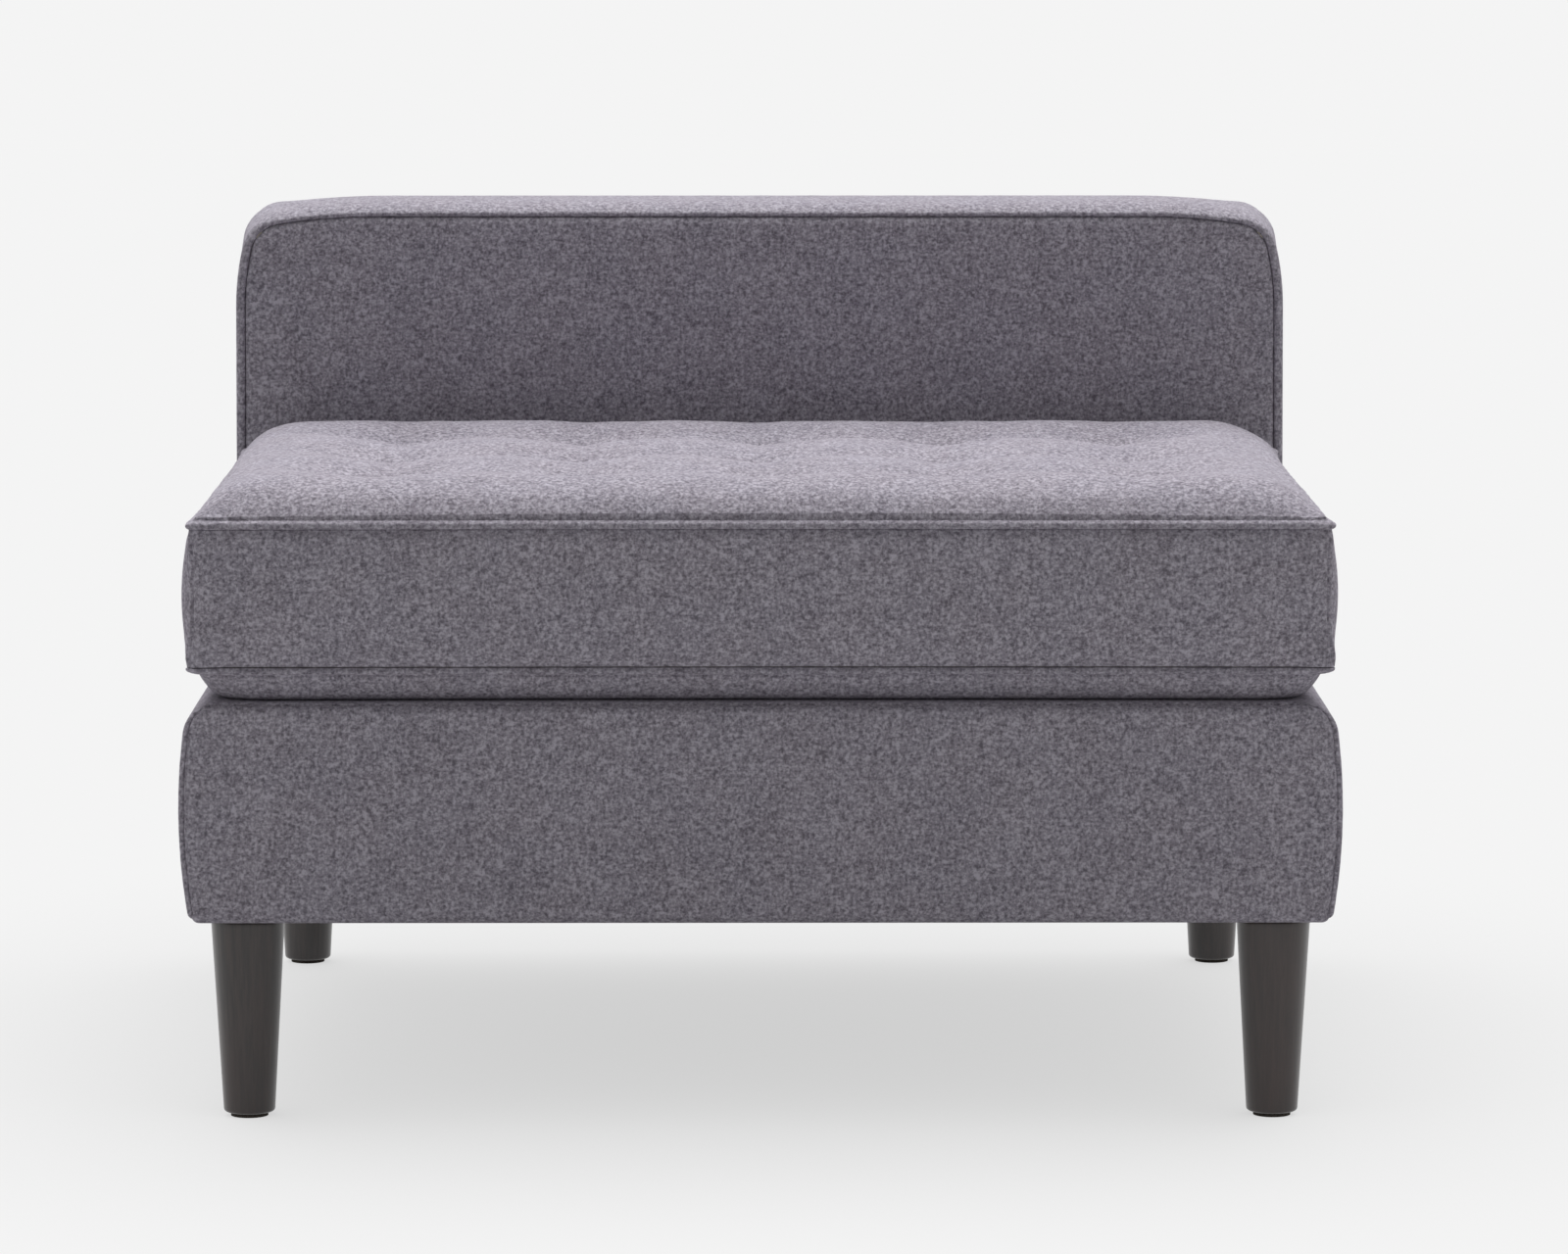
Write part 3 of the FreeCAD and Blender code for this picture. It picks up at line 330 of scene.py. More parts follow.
def makeFelt():
    # Felted wool: fibres of several greys, matted in all directions
    finish = Finish("wool felt")
    where = finish.place()
    fine = finish.noise(where, 1 / felt["fibre"], 3.0, 0.65)
    lying = finish.noise(finish.place((0.7, 1, 1.4), (0.4, 0.9, 0.3)), 1 / felt["tuft"], 2.0, 0.6)
    standing = finish.noise(finish.place((1.3, 0.9, 0.7), (1.1, 0.2, 0.7)), 1 / felt["tuft"], 2.0, 0.6)
    cloud = finish.noise(where, 1 / felt["cloud"], 2.0, 0.5)
    tint = finish.noise(where, 0.6 / felt["cloud"], 1.0, 0.5)
    melange = fine * 0.5 + lying * 0.3 + standing * 0.3
    spread = melange + (cloud - 0.5) * 0.05
    base = finish.mix(finish.between(spread, 0.42, 0.55), felt["dark"], felt["middle"])
    base = finish.mix(finish.between(spread, 0.53, 0.66), base, felt["light"])
    hue = finish.mix(finish.between(tint, 0.35, 0.65), felt["warm"], felt["cool"])
    shade = finish.mix(0.08, base, hue)
    relief = finish.bump(melange, felt["relief"])
    return finish.surface({"Base Color": shade, "Roughness": felt["roughness"], "Normal": relief,
                           "Specular IOR Level": 0.25, "Sheen Weight": felt["sheen"],
                           "Sheen Roughness": 0.55, "Sheen Tint": colour(214, 206, 220)})


wood = {"dark": colour(30, 24, 23), "light": colour(58, 47, 44), "red": colour(62, 42, 38),
        "roughness": (0.30, 0.40), "coat": 0.35}


def makeLegWood():
    # Beech stained dark, under a satin lacquer
    finish = Finish("dark stained wood")
    grain = finish.noise(finish.place((60, 60, 3.2)), 5.0, 5.0, 0.6)
    pores = finish.noise(finish.place((500, 500, 22)), 2.2, 2.0, 0.7)
    flame = finish.noise(finish.place((9, 9, 2)), 2.0, 2.0, 0.5)
    base = finish.mix(finish.between(grain, 0.3, 0.72), wood["dark"], wood["light"])
    base = finish.mix(finish.between(flame, 0.45, 0.7) * 0.55, base, wood["red"])
    low, high = wood["roughness"]
    gloss = low + finish.between(pores, 0.35, 0.7) * (high - low)
    relief = finish.bump(pores * 0.6 + grain * 0.4, 0.00012, 0.5)
    return finish.surface({"Base Color": base, "Roughness": gloss, "Normal": relief,
                           "Coat Weight": wood["coat"], "Coat Roughness": 0.22})


# The pieces under the covers and the small hardware. Each finish has words in the names of the
# nodes that wear it, its name, two colours, the stretch and scale of the grain between them,
# roughness, metallic and relief.
plainFinishes = {
    "frame_timber": (("rail", "centre_brace", "corner_block", "gable", "stile"),
        "sawn pine", (196, 164, 118), (158, 120, 78), (3, 40, 40), 6, 0.6, 0, 0.0004),
    "plywood": (("board",),
        "birch plywood", (205, 178, 137), (172, 138, 98), (4, 12, 90), 5, 0.55, 0, 0.0003),
    "foam": (("deck_pad", "foam", "core"),
        "upholstery foam", (224, 217, 190), (203, 193, 160), (1, 1, 1), 420, 0.9, 0, 0.0006),
    "wadding": (("padding", "wadding", "back_rear_felt"),
        "polyester wadding", (236, 236, 234), (212, 212, 211), (1, 1, 1), 160, 1.0, 0, 0.0012),
    "elastic_webbing": (("webbing",),
        "elastic webbing", (62, 60, 58), (33, 32, 31), (1, 1, 1), 620, 0.85, 0, 0.0005),
    "zinc_steel": (("bolts",),
        "zinc plated steel", (196, 198, 202), (160, 163, 170), (1, 1, 8), 90, 0.35, 1, 0.0001),
    "glide_felt": (("glides",),
        "pressed glide felt", (96, 88, 80), (66, 60, 55), (1, 1, 1), 500, 0.95, 0, 0.0004),
    "black_cloth": (("dust_cover",),
        "black base cloth", (34, 33, 34), (20, 19, 20), (1, 1, 1), 800, 0.9, 0, 0.0003),
    "tie_tape": (("tuft_ties", "tuft_pads"),
        "woven tie tape", (226, 222, 212), (190, 184, 170), (1, 1, 2), 700, 0.85, 0, 0.0004),
    "zip_tape": (("zip_tape",),
        "zip tape", (84, 80, 88), (62, 58, 66), (3, 1, 1), 700, 0.8, 0, 0.0003),
    "zip_metal": (("zip_slider",),
        "blackened zip metal", (88, 87, 92), (58, 57, 61), (1, 1, 1), 260, 0.4, 1, 0.0001),
}


def makePlain(label, light, dark, stretch, scale, roughness, metallic, relief):
    finish = Finish(label)
    grain = finish.noise(finish.place(stretch), scale, 4.0, 0.6)
    fine = finish.noise(finish.place(stretch), scale * 3.1, 2.0, 0.6)
    both = grain * 0.65 + fine * 0.35
    base = finish.mix(finish.between(both, 0.34, 0.66), colour(*dark), colour(*light))
    gloss = roughness - 0.06 + finish.between(fine, 0.3, 0.7) * 0.12
    return finish.surface({"Base Color": base, "Roughness": gloss, "Metallic": float(metallic),
                           "Normal": finish.bump(both, relief)})


def makeZipCoil():
    # A nylon coil with one turn every 1.3 mm. A wave texture has 20 / (2 pi) bands at scale 1.
    finish = Finish("zip coil")
    spot = finish.node("TexCoord", output=3)
    teeth = finish.node("TexWave", {"bands_direction": "X"},
                        {"Vector": spot, "Scale": 2 * math.pi / 0.0013 / 20, "Distortion": 0.0})
    base = finish.mix(finish.between(teeth, 0.25, 0.75), colour(48, 45, 51), colour(104, 100, 109))
    return finish.surface({"Base Color": base, "Roughness": 0.45, "Normal": finish.bump(teeth, 0.0004)})


finishes = {slot: makePlain(*numbers[1:]) for slot, numbers in plainFinishes.items()}
finishes["wool_felt"] = makeFelt()
finishes["leg_wood"] = makeLegWood()
finishes["zip_coil"] = makeZipCoil()
print("finishes made:", len(finishes))


def cover(piece, body, slot, replaced=()):
    # Gives a new piece its finish, its body and the CAD nodes that it stands for
    piece.data.materials.append(finishes[slot])
    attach(piece, body)
    if replaced:
        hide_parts(*replaced)
    return piece


# The two upholstered boxes, base and back. Each is a band over both sides and the top, and a
# front and a rear panel. Their seam runs in the rounded edge, at an angle that changes: 0 is on
# the face of the panel and 90 on the band. parts counts the steps of each run and arc of half the
# outline, arc says in which of them the seam turns from its angle at the top to that at the side,
# draw is how a panel sinks to its seam, and fuller says at which points the corners fill out.

base = {
    "half": 0.430, "top": 0.316, "bottom": 0.152, "topRadius": 0.025, "sideRadius": 0.470,
    "hemRadius": 0.009, "hem": 0.030, "front": -0.400, "lean": 0, "rear": 0.405, "edge": 0.008,
    "seamAtTop": 100, "seamAtSide": 42, "crown": 0.0052, "panelWidth": 0.0120, "bandWidth": 0.0035,
    "draw": sink, "seamDepth": 0.0024, "wrinkle": 0.00035, "parts": (46, 10, 18, 8, 4, 42), "arc": 1,
    "depthParts": 72, "fillParts": 72, "fuller": ((0, 0), (100, 0)), "topCrown": 0,
}
back = {
    "half": 0.429, "top": 0.645, "bottom": 0.316, "sweep": (0.500, 9.2), "corner": (0.034, 68),
    "run": (0.220, 12.8), "hemRadius": 0.005, "hem": 0.012, "front": 0.1985, "lean": 4, "rear": 0.405,
    "edge": 0.008, "seamAtTop": 6, "seamAtSide": 2, "crown": 0.0088, "panelWidth": 0.0075,
    "bandWidth": 0.0045, "draw": pinch, "seamDepth": 0.0044, "wrinkle": 0.0004,
    "parts": (34, 9, 10, 6, 28, 6, 4, 39), "arc": 2, "depthParts": 20, "fillParts": 8, "topCrown": 1,
    "fuller": ((38, 0), (43, 0.0014), (45.5, 0.0045), (48, 0.0070), (50.5, 0.0066), (53, 0.0045),
               (56, 0.0028), (61, 0.0008), (66, 0)),
}
least = 0.0012   # the smallest radius of a corner that is drawn in


def alongSole(top, steps, shape):
    # The steps of half an outline and the run back to its middle
    reached = chain(0, top, steps)[-1]
    return chain(0, top, steps + [("run", reached[0], shape["parts"][-1])])


def baseLine(inset):
    top, bottom = base["top"] - inset, base["bottom"] + inset
    middle = (base["top"] + base["bottom"]) / 2
    corner, side, hem = [max(base[name] - inset, least) for name in ("topRadius", "sideRadius", "hemRadius")]
    upper = math.asin((top - corner - middle) / (side - corner))
    lower = math.asin((middle - bottom - hem) / (side - hem))
    cornerX = base["half"] - inset - side + (side - corner) * math.cos(upper)
    steps = [("run", cornerX), (corner, 90 - math.degrees(upper)), (side, math.degrees(upper + lower)),
             (hem, 90 - math.degrees(lower)), ("run", base["hem"])]
    return alongSole(top, [step + (parts,) for step, parts in zip(steps, base["parts"])], base)


def backLine(inset):
    top, bottom = back["top"] - inset, back["bottom"] + inset
    arcs = [(back[name][0] - inset, back[name][1]) for name in ("sweep", "corner", "run")]
    arcs = [arc + (parts,) for arc, parts in zip(arcs, back["parts"][1:4])]
    reach = chain(0, top, arcs)[-1]
    foot = max(back["hemRadius"] - inset, least)
    steps = [("run", back["half"] - inset - reach[0], back["parts"][0])] + arcs
    steps += [("run", reach[1] - bottom - foot, back["parts"][4]), (foot, 90, back["parts"][5]),
              ("run", back["hem"], back["parts"][6])]
    return alongSole(top, steps, back)


def crossing(shape, along, dive):
    # Where a point of the rounded edge lies, from its distance along the cross-section: how far
    # inside the outline and how far behind the face. dive pulls it under the surface.
    angle = np.clip(along / shape["edge"], 0, math.pi / 2)
    inset = shape["edge"] * (1 - np.sin(angle)) + np.maximum(-along, 0)
    depth = shape["edge"] * (1 - np.cos(angle)) + np.maximum(along - shape["edge"] * math.pi / 2, 0)
    return inset + dive * np.sin(angle), depth + dive * np.cos(angle)


# distance from the seam and dive under the surface, from the sewn edge outwards
tucked = ((0.0012, 0.0046), (0.0006, 0.0030), (0.0004, 0.0014))
panelStops = (0.0200, 0.0172, 0.0146, 0.0122, 0.0100, 0.0080, 0.0062, 0.0046, 0.0033, 0.0022, 0.0013,
              0.0007, 0.0004)
bandStops = (0.0004, 0.0008, 0.0014, 0.0022, 0.0033, 0.0047, 0.0065, 0.0090, 0.0125, 0.0170, 0.0230,
             0.0310, 0.0420, 0.0580)
# the padded top of the back over its front seam, at the same stops: inset from the outline and depth
topRoll = ((0.0078, 0.0042), (0.0072, 0.0026), (0.0064, 0.0011), (0.0055, 0.0004), (0.0044, 0.0007),
           (0.0035, 0.0018), (0.0027, 0.0034), (0.0017, 0.0057), (0.0004, 0.0089), (-0.0008, 0.0131),
           (-0.0020, 0.0190), (-0.0030, 0.0269), (-0.0037, 0.0379), (-0.0040, 0.0538))
sewing = {
    "pucker": 0.00022, "puckerReach": 0.006, "panelWaves": (0.016, 0.027, 0.041),
    "bandWaves": (0.015, 0.024, 0.038), "panelRumple": 0.11, "bandRumple": 0.13, "rearSeam": 45,
    "rearCrown": 0.0015, "hemStart": -0.006, "hemReach": 0.026, "hemTuck": 0.0013, "hemBand": 0.004,
    "hemStep": 0.0008, "fullStart": 0.004, "fullReach": 0.100, "topLift": 0.0042,
}


def seamPlaces(shape, arcFrom, arcParts, index):
    # Where the seam runs along the cross-section, for each point of the half outline
    turn = smooth((index - arcFrom) / arcParts)
    angle = shape["seamAtTop"] + (shape["seamAtSide"] - shape["seamAtTop"]) * turn
    return np.radians(angle) * shape["edge"]


def edgeRun(line):
    return np.concatenate([[0], np.cumsum(np.linalg.norm(np.diff(line, axis=0), axis=1))])


def makeBox(name, shape, line, seed):
    outline = Outline(line, -0.012, 0.036)
    index = np.arange(outline.lines.shape[1])
    run = edgeRun(outline.at(0))
    parts, edge, seamDepth, wrinkle = [shape[key] for key in ("parts", "edge", "seamDepth", "wrinkle")]
    low, high, quarter = shape["bottom"], shape["top"], edge * math.pi / 2
    arcFrom, arcParts = sum(parts[:shape["arc"]]), parts[shape["arc"]]
    hemFrom, hemParts = sum(parts[:-3]), parts[-3]
    seam = seamPlaces(shape, arcFrom, arcParts, index)
    rearSeam = math.radians(sewing["rearSeam"]) * edge
    # 1 where the cover is turned in under the frame, and 1 where the top is padded
    under = smooth((index - hemFrom) / hemParts)
    over = shape["topCrown"] * (1 - smooth((index - arcFrom + 3) / arcParts))
    fuller = np.interp(index, *zip(*shape["fuller"]))
    fuller = np.convolve(np.pad(fuller, 2, mode="edge"), (0.1, 0.2, 0.4, 0.2, 0.1), mode="valid")

    def swell(x, z, crown, number):
        # How far a panel stands out of its flat face
        across = np.clip(1 - np.abs(x / shape["half"]) ** 4, 0, 1)
        up = np.clip(1 - ((2 * z - low - high) / (high - low)) ** 2, 0, 1) ** 0.8
        return crown * across * up + rumple(x, z, number, sewing["panelRumple"], wrinkle)

    def fromFront(z, depth):
        return shape["front"] + (z - low) * math.tan(math.radians(shape["lean"])) + depth

    def fromRear(z, depth):
        return shape["rear"] - depth

    def panel(label, place, seamPlace, crown, sign, number):
        # place gives y from the depth behind the face; sign is -1 for the front, 1 for the rear
        def inside(x, z):
            return place(z, -swell(x, z, crown, number))

        stops = [(stop, shape["draw"](stop, shape["panelWidth"], seamDepth)) for stop in panelStops]
        stops += [(stop, seamDepth + more) for stop, more in reversed(tucked)]
        puckers = ripple(run, number + 5, sewing["panelWaves"], sewing["pucker"]) * (1 - under)
        rings = []
        for k, (stop, dive) in enumerate(stops):
            hemmed = sewing["hemStart"] + (quarter + sewing["hemReach"]) * (k / (len(stops) - 1)) ** 1.1
            along = (seamPlace - stop) * (1 - under) + hemmed * under
            dips = (dive + puckers * math.exp(-stop / sewing["puckerReach"])) * (1 - under)
            inset, depth = crossing(shape, along, dips)
            x, z = outline.at(inset - (fuller if sign > 0 else 0)).T
            y = place(z, depth - swell(x, z, crown, number) * np.clip(1 - depth / edge, 0, 1))
            rings.append(fullLoop(np.stack([x, z, y], axis=1)))
        corner, lower, total = arcFrom, hemFrom + hemParts, len(rings[0])
        corners = (corner, lower, total - lower, total - corner)
        piece = patchPiece(label, rings[0], corners, inside, [ring[:, (0, 2, 1)] for ring in rings[1:]],
                           (0, 2, 1), lambda place: (0, sign, 0))
        return thicken(piece)

    def bandEdge(seamPlace, number, atFront):
        # Inset and depth of each line of the band, from its sewn edge inwards
        stops = [(stop, seamDepth + more) for stop, more in tucked]
        stops += [(stop, pinch(stop, shape["bandWidth"], seamDepth)) for stop in bandStops]
        waves = ripple(run, number, sewing["bandWaves"], sewing["pucker"])
        lines = []
        for k, (stop, dive) in enumerate(stops):
            puckers = waves * math.exp(-stop / sewing["puckerReach"])
            hemmed = quarter + sewing["hemBand"] + sewing["hemStep"] * k
            along = (seamPlace + stop) * (1 - under) + hemmed * under
            inset, depth = crossing(shape, along, (dive + puckers) * (1 - under) + sewing["hemTuck"] * under)
            if not atFront:
                inset = inset - fuller
            elif k >= len(tucked):
                topInset, topDepth = topRoll[k - len(tucked)]
                inset += (topInset + puckers - inset) * over
                inset -= fuller * smooth((stop - sewing["fullStart"]) / sewing["fullReach"])
                depth += (topDepth - depth) * over
            lines.append((inset, depth))
        return lines

    def laid(inset, share, frontDepth, rearDepth):
        # One line of the band, from the front at share 0 to the rear at share 1
        x, z = outline.at(inset).T
        y = fromFront(z, frontDepth) * (1 - share) + fromRear(z, rearDepth) * share
        return np.stack([x, y, z], axis=1)[:sum(parts[:-1]) + 1]

    frontPanel = panel(name + "_front_cover", fromFront, seam, shape["crown"], -1, seed)
    rearPanel = panel(name + "_rear_cover", fromRear, rearSeam, sewing["rearCrown"], 1, seed + 1)

    # The band: sewn edge, rounded edge, straight across, and the same at the rear
    frontEdge, rearEdge = bandEdge(seam, seed + 2, True), bandEdge(rearSeam, seed + 3, False)
    (frontInset, frontDepth), (rearInset, rearDepth) = frontEdge[-1], rearEdge[-1]
    across = shape["rear"] - fromFront(outline.at(-edge)[:, 1], 0).mean()
    rows = [laid(inset, 0, depth, 0) for inset, depth in frontEdge]
    for k in range(1, shape["depthParts"]):
        share, filled = k / shape["depthParts"], smooth(k / shape["fillParts"])
        inset = frontInset * (1 - filled) + rearInset * filled
        inset -= over * sewing["topLift"] * (filled - share ** 3)
        soft = rumple(run, np.full_like(run, share * across), seed + 4, sewing["bandRumple"], wrinkle)
        soft *= math.sin(math.pi * share) ** 0.5 * (1 - under)
        rows.append(laid(inset - soft, share, frontDepth, rearDepth))
    rows += [laid(inset, 1, 0, depth) for inset, depth in reversed(rearEdge)]
    right = np.array(rows)
    left = right[:, :0:-1] * np.array([-1, 1, 1])
    band = gridPiece(name + "_band_cover", np.concatenate([left, right], axis=1), upwards)
    return frontPanel, rearPanel, thicken(band)


for name, shape, line, seed in (("base", base, baseLine, 11), ("back", back, backLine, 31)):
    for piece, kind in zip(makeBox(name, shape, line, seed), ("front_panel", "rear_panel", "band")):
        cover(piece, "base", "wool_felt", (name + "_" + kind,))
print("base and back covered")


# The loose cushion: a tufted top, a border and a tray, sewn all round. The top and the tray are
# top-stitched beside their seams.

cushion = {
    "half": 0.4205, "front": -0.3975, "rear": 0.189, "radius": 0.0055, "waist": 0.003, "rightWaist": 0.009,
    "bottom": 0.3163, "lowerSeam": 0.3428, "upperSeam": 0.445, "bulge": 0.0078, "fade": 0.026,
    "crease": 0.0022, "trayRoll": 0.019, "trayStitch": 0.0063, "seamWidth": 0.0095, "seamDepth": 0.0018,
    "columns": 5, "rows": 3, "edgeStart": 0.0085, "crown": 0.0262, "edgeReach": 0.070, "leftReach": 0.052,
    "rightReach": 0.066, "edgePower": 2.9, "endDrop": 0.002, "columnCrease": 0.0042, "rowCrease": 0.0045,
    "tuftDip": 0.0165, "creaseWidth": 0.022, "tuftWidth": 0.035, "gather": 0.0006,
    "lowerEar": 0.0042, "upperEar": 0.0016, "frontParts": 120, "sideParts": 84, "cornerParts": 8,
}
borderHeight = cushion["upperSeam"] - cushion["lowerSeam"]
trayDepth = cushion["lowerSeam"] - cushion["bottom"]
cushionMiddle = (cushion["front"] + cushion["rear"]) / 2


def cushionLine(inset):
    # Seen from above, from the front left corner round by the right: four sides, four corners
    half = cushion["half"] - inset
    front, rear = cushion["front"] + inset, cushion["rear"] - inset
    radius = max(cushion["radius"] - inset * 0.8, 0.001)
    across = np.linspace(-1, 1, cushion["frontParts"] + 1)[:-1]
    along = np.linspace(-1, 1, cushion["sideParts"] + 1)[:-1]
    waist, side = cushion["waist"], half - radius
    middle, reach = (front + rear) / 2, (rear - front) / 2 - radius
    corner = np.linspace(0, math.pi / 2, cushion["cornerParts"] + 1)[:-1]

    def arc(x, y, start):
        return np.stack([x + radius * np.cos(start + corner), y + radius * np.sin(start + corner)], axis=1)
    parts = [np.stack([across * side, front + waist * (1 - across ** 2)], axis=1),
             arc(side, front + radius, -math.pi / 2),
             np.stack([half - cushion["rightWaist"] * (1 - along ** 2), middle + along * reach], axis=1),
             arc(side, rear - radius, 0),
             np.stack([-across * side, np.full_like(across, rear)], axis=1),
             arc(-side, rear - radius, math.pi / 2),
             np.stack([-half + waist * (1 - along ** 2), middle - along * reach], axis=1),
             arc(-side, front + radius, math.pi)]
    return np.concatenate(parts)


rim = Outline(cushionLine, -0.014, 0.042)
rimCount = rim.lines.shape[1]
rimPlain = rim.at(0)
rimStep = np.linalg.norm(np.roll(rimPlain, -1, axis=0) - rimPlain, axis=1)
rimRun = np.concatenate([[0], np.cumsum(rimStep)[:-1]])
halfCorner = cushion["cornerParts"] // 2
frontEnd = cushion["frontParts"]
sideEnd = frontEnd + cushion["cornerParts"] + cushion["sideParts"]
rearEnd = sideEnd + cushion["cornerParts"] + frontEnd
rimCorners = (rimCount - halfCorner, frontEnd + halfCorner, sideEnd + halfCorner, rearEnd + halfCorner)
rimLength = rimStep.sum()
cornerGap = np.min([np.abs((rimRun - rimRun[k] + rimLength / 2) % rimLength - rimLength / 2)
                    for k in rimCorners], axis=0)


def rimRow(inward, z):
    # One line round the cushion at one height, drawn in from its outline
    return np.column_stack([rim.at(inward), np.full(rimCount, z)])


def borderOut(share):
    # How far the border stands out of its seams at a share of its height, less at the corners
    bow = np.clip(1 - (2 * share - 1) ** 2, 0, 1)
    out = cushion["bulge"] * bow ** 0.85 * (0.1 + 0.9 * smooth(cornerGap / cushion["fade"]))
    out -= cushion["crease"] * np.exp(-(cornerGap / 0.008) ** 2) * (1 - (2 * share - 1) ** 4)
    return out - 0.0018 * np.exp(-(cornerGap / 0.0013) ** 2) * np.clip(bow * 4, 0, 1)


def ear(size, distance, reach):
    # The seams stand out at the corners, where the fabric is thickest
    return size * np.exp(-(cornerGap / 0.016) ** 2) * (1 - smooth(distance / reach))


borderLevels = (0.0004, 0.0009, 0.0016, 0.0026, 0.0042, 0.0066, 0.0100, 0.0145, 0.0200, 0.0265, 0.0335,
                0.0410)
# a turned-in edge: how far in and how far past the seam
turnedIn = ((0.0045, 0.0012), (0.0018, 0.0002))


def borderRow(level, seed=51):
    # One line of the border round the cushion at a height above the lower seam
    share, edge = level / borderHeight, min(level, borderHeight - level)
    out = borderOut(share) - sink(edge, cushion["seamWidth"], cushion["seamDepth"])
    out += ear(cushion["lowerEar"], level, 0.040) + ear(cushion["upperEar"], borderHeight - level, 0.030)
    soft = rumple(rimRun, np.full(rimCount, level), seed, 0.085, 0.00045)
    out += soft * smooth(cornerGap / 0.02) * smooth(edge / 0.012)
    puckers = ripple(rimRun, seed + 1 + int(share > 0.5), (0.017, 0.026, 0.043), 0.00028)
    return rimRow(-out - puckers * math.exp(-edge / 0.009), cushion["lowerSeam"] + level)


def sewnIn(rows):
    # Adds the turned-in edge below the first line and above the last one
    inner = []
    for edge, sign in ((rows[0], 1), (rows[-1], -1)):
        step = np.array([0, cushionMiddle, edge[0, 2]]) - edge
        step /= np.linalg.norm(step, axis=1)[:, None]
        inner.append([edge + step * inward + np.array([0, 0, past * sign]) for inward, past in turnedIn])
    return inner[0] + rows + inner[1][::-1]


# The zipped strip behind the cushion. sewn lists its ends: how far beside the joint and how far
# sunk behind the surface.
zipped = {"half": 0.3047, "slotHalf": 0.280, "level": 0.052, "joint": 0.0003,
          "sewn": ((0.0004, 0.0052), (0, 0.0022), (0.0022, 0))}
lipLevels = borderLevels[:-1] + (0.0390, 0.0425, 0.0448, 0.0457, 0.0460, 0.0460, 0.0460)


def fromMiddle(place):
    # The way from the middle of the cushion out to a place
    return (place[0], place[1] - cushionMiddle, 0)


def makeBorder():
    levels = borderLevels + tuple(borderHeight - level for level in borderLevels)
    levels += (zipped["level"] - 0.0035, zipped["level"] + 0.0035)
    rows = np.array(sewnIn([borderRow(level) for level in sorted(levels)]))
    # the rear strip with the zip is a piece of its own: the border starts and ends beside it
    behind = (np.abs(rimPlain[:, 0]) < zipped["half"]) & (rimPlain[:, 1] > cushion["rear"] - 0.001)
    behind = np.nonzero(behind)[0]
    strip = rows[:, np.r_[behind.max() + 1:rimCount, 0:behind.min()]]
    ends = []
    for edge, sign in ((strip[:, 0], -1), (strip[:, -1], 1)):
        joint = edge.copy()
        joint[:, 0] = sign * (zipped["half"] + zipped["joint"])
        ends.append([joint - np.array([sign * beside, sunk, 0]) for beside, sunk in zipped["sewn"]])
    columns = [np.stack(ends[0], axis=1), strip, np.stack(ends[1][::-1], axis=1)]
    return thicken(gridPiece("cushion_side_border", np.concatenate(columns, axis=1), fromMiddle))


def makeZipLips():
    # The two halves of the zipped strip, closed at both ends and parted by the slot between
    half = zipped["half"]
    ends = np.array([-half, -half, -half + 0.0018])
    across = np.concatenate([ends, np.linspace(-half, half, 140)[2:-2], -ends[::-1]])
    sunk = np.zeros_like(across)
    sunk[[0, -1]], sunk[[1, -2]] = [depth for _, depth in zipped["sewn"][:2]]
    # 1 where the lips are parted by the slot
    part = smooth((zipped["slotHalf"] + 0.004 - np.abs(across)) / 0.012)
    for name, sign, seam in (("lower", -1, "lowerSeam"), ("upper", 1, "upperSeam")):
        rows = []
        for k, level in enumerate(lipLevels):
            folded = max(0, k - len(lipLevels) + 4)
            reach = level + (borderHeight / 2 - 0.0002 - level) * (1 - part) * smooth((level - 0.03) / 0.016)
            bow = np.clip(1 - (2 * reach / borderHeight - 1) ** 2, 0, 1) ** 0.85
            out = cushion["bulge"] * bow - sink(level, cushion["seamWidth"], cushion["seamDepth"])
            out += 0.0006 * np.exp(-((0.0462 - level) / 0.004) ** 2) * part
            out += rumple(across, np.full_like(across, level), 61, 0.07, 0.0003)
            out += ripple(across, 63 + sign, (0.02, 0.033), 0.00025) * math.exp(-level / 0.009)
            out -= folded ** 1.2 * 0.0007
            out -= 0.0009 * np.exp(-((0.0455 - level) / 0.0012) ** 2) * (1 - part)
            y, z = cushion["rear"] + out - sunk, cushion[seam] - sign * reach
            rows.append(np.stack([across, y, z], axis=1))
        rows = [rows[0] - np.array([0, inward, past * sign]) for inward, past in turnedIn] + rows
        yield thicken(gridPiece("zip_lip_" + name, np.array(rows), fromMiddle), 0.0015)


tuftColumns = np.linspace(-cushion["half"], cushion["half"], cushion["columns"] + 2)[1:-1]
tuftRows = np.linspace(cushion["front"], cushion["rear"], cushion["rows"] + 2)[1:-1]
tufts = [(x, y) for x in tuftColumns for y in tuftRows]


def dip(distance, width):
    return np.exp(-(np.abs(distance) / width) ** 1.25)


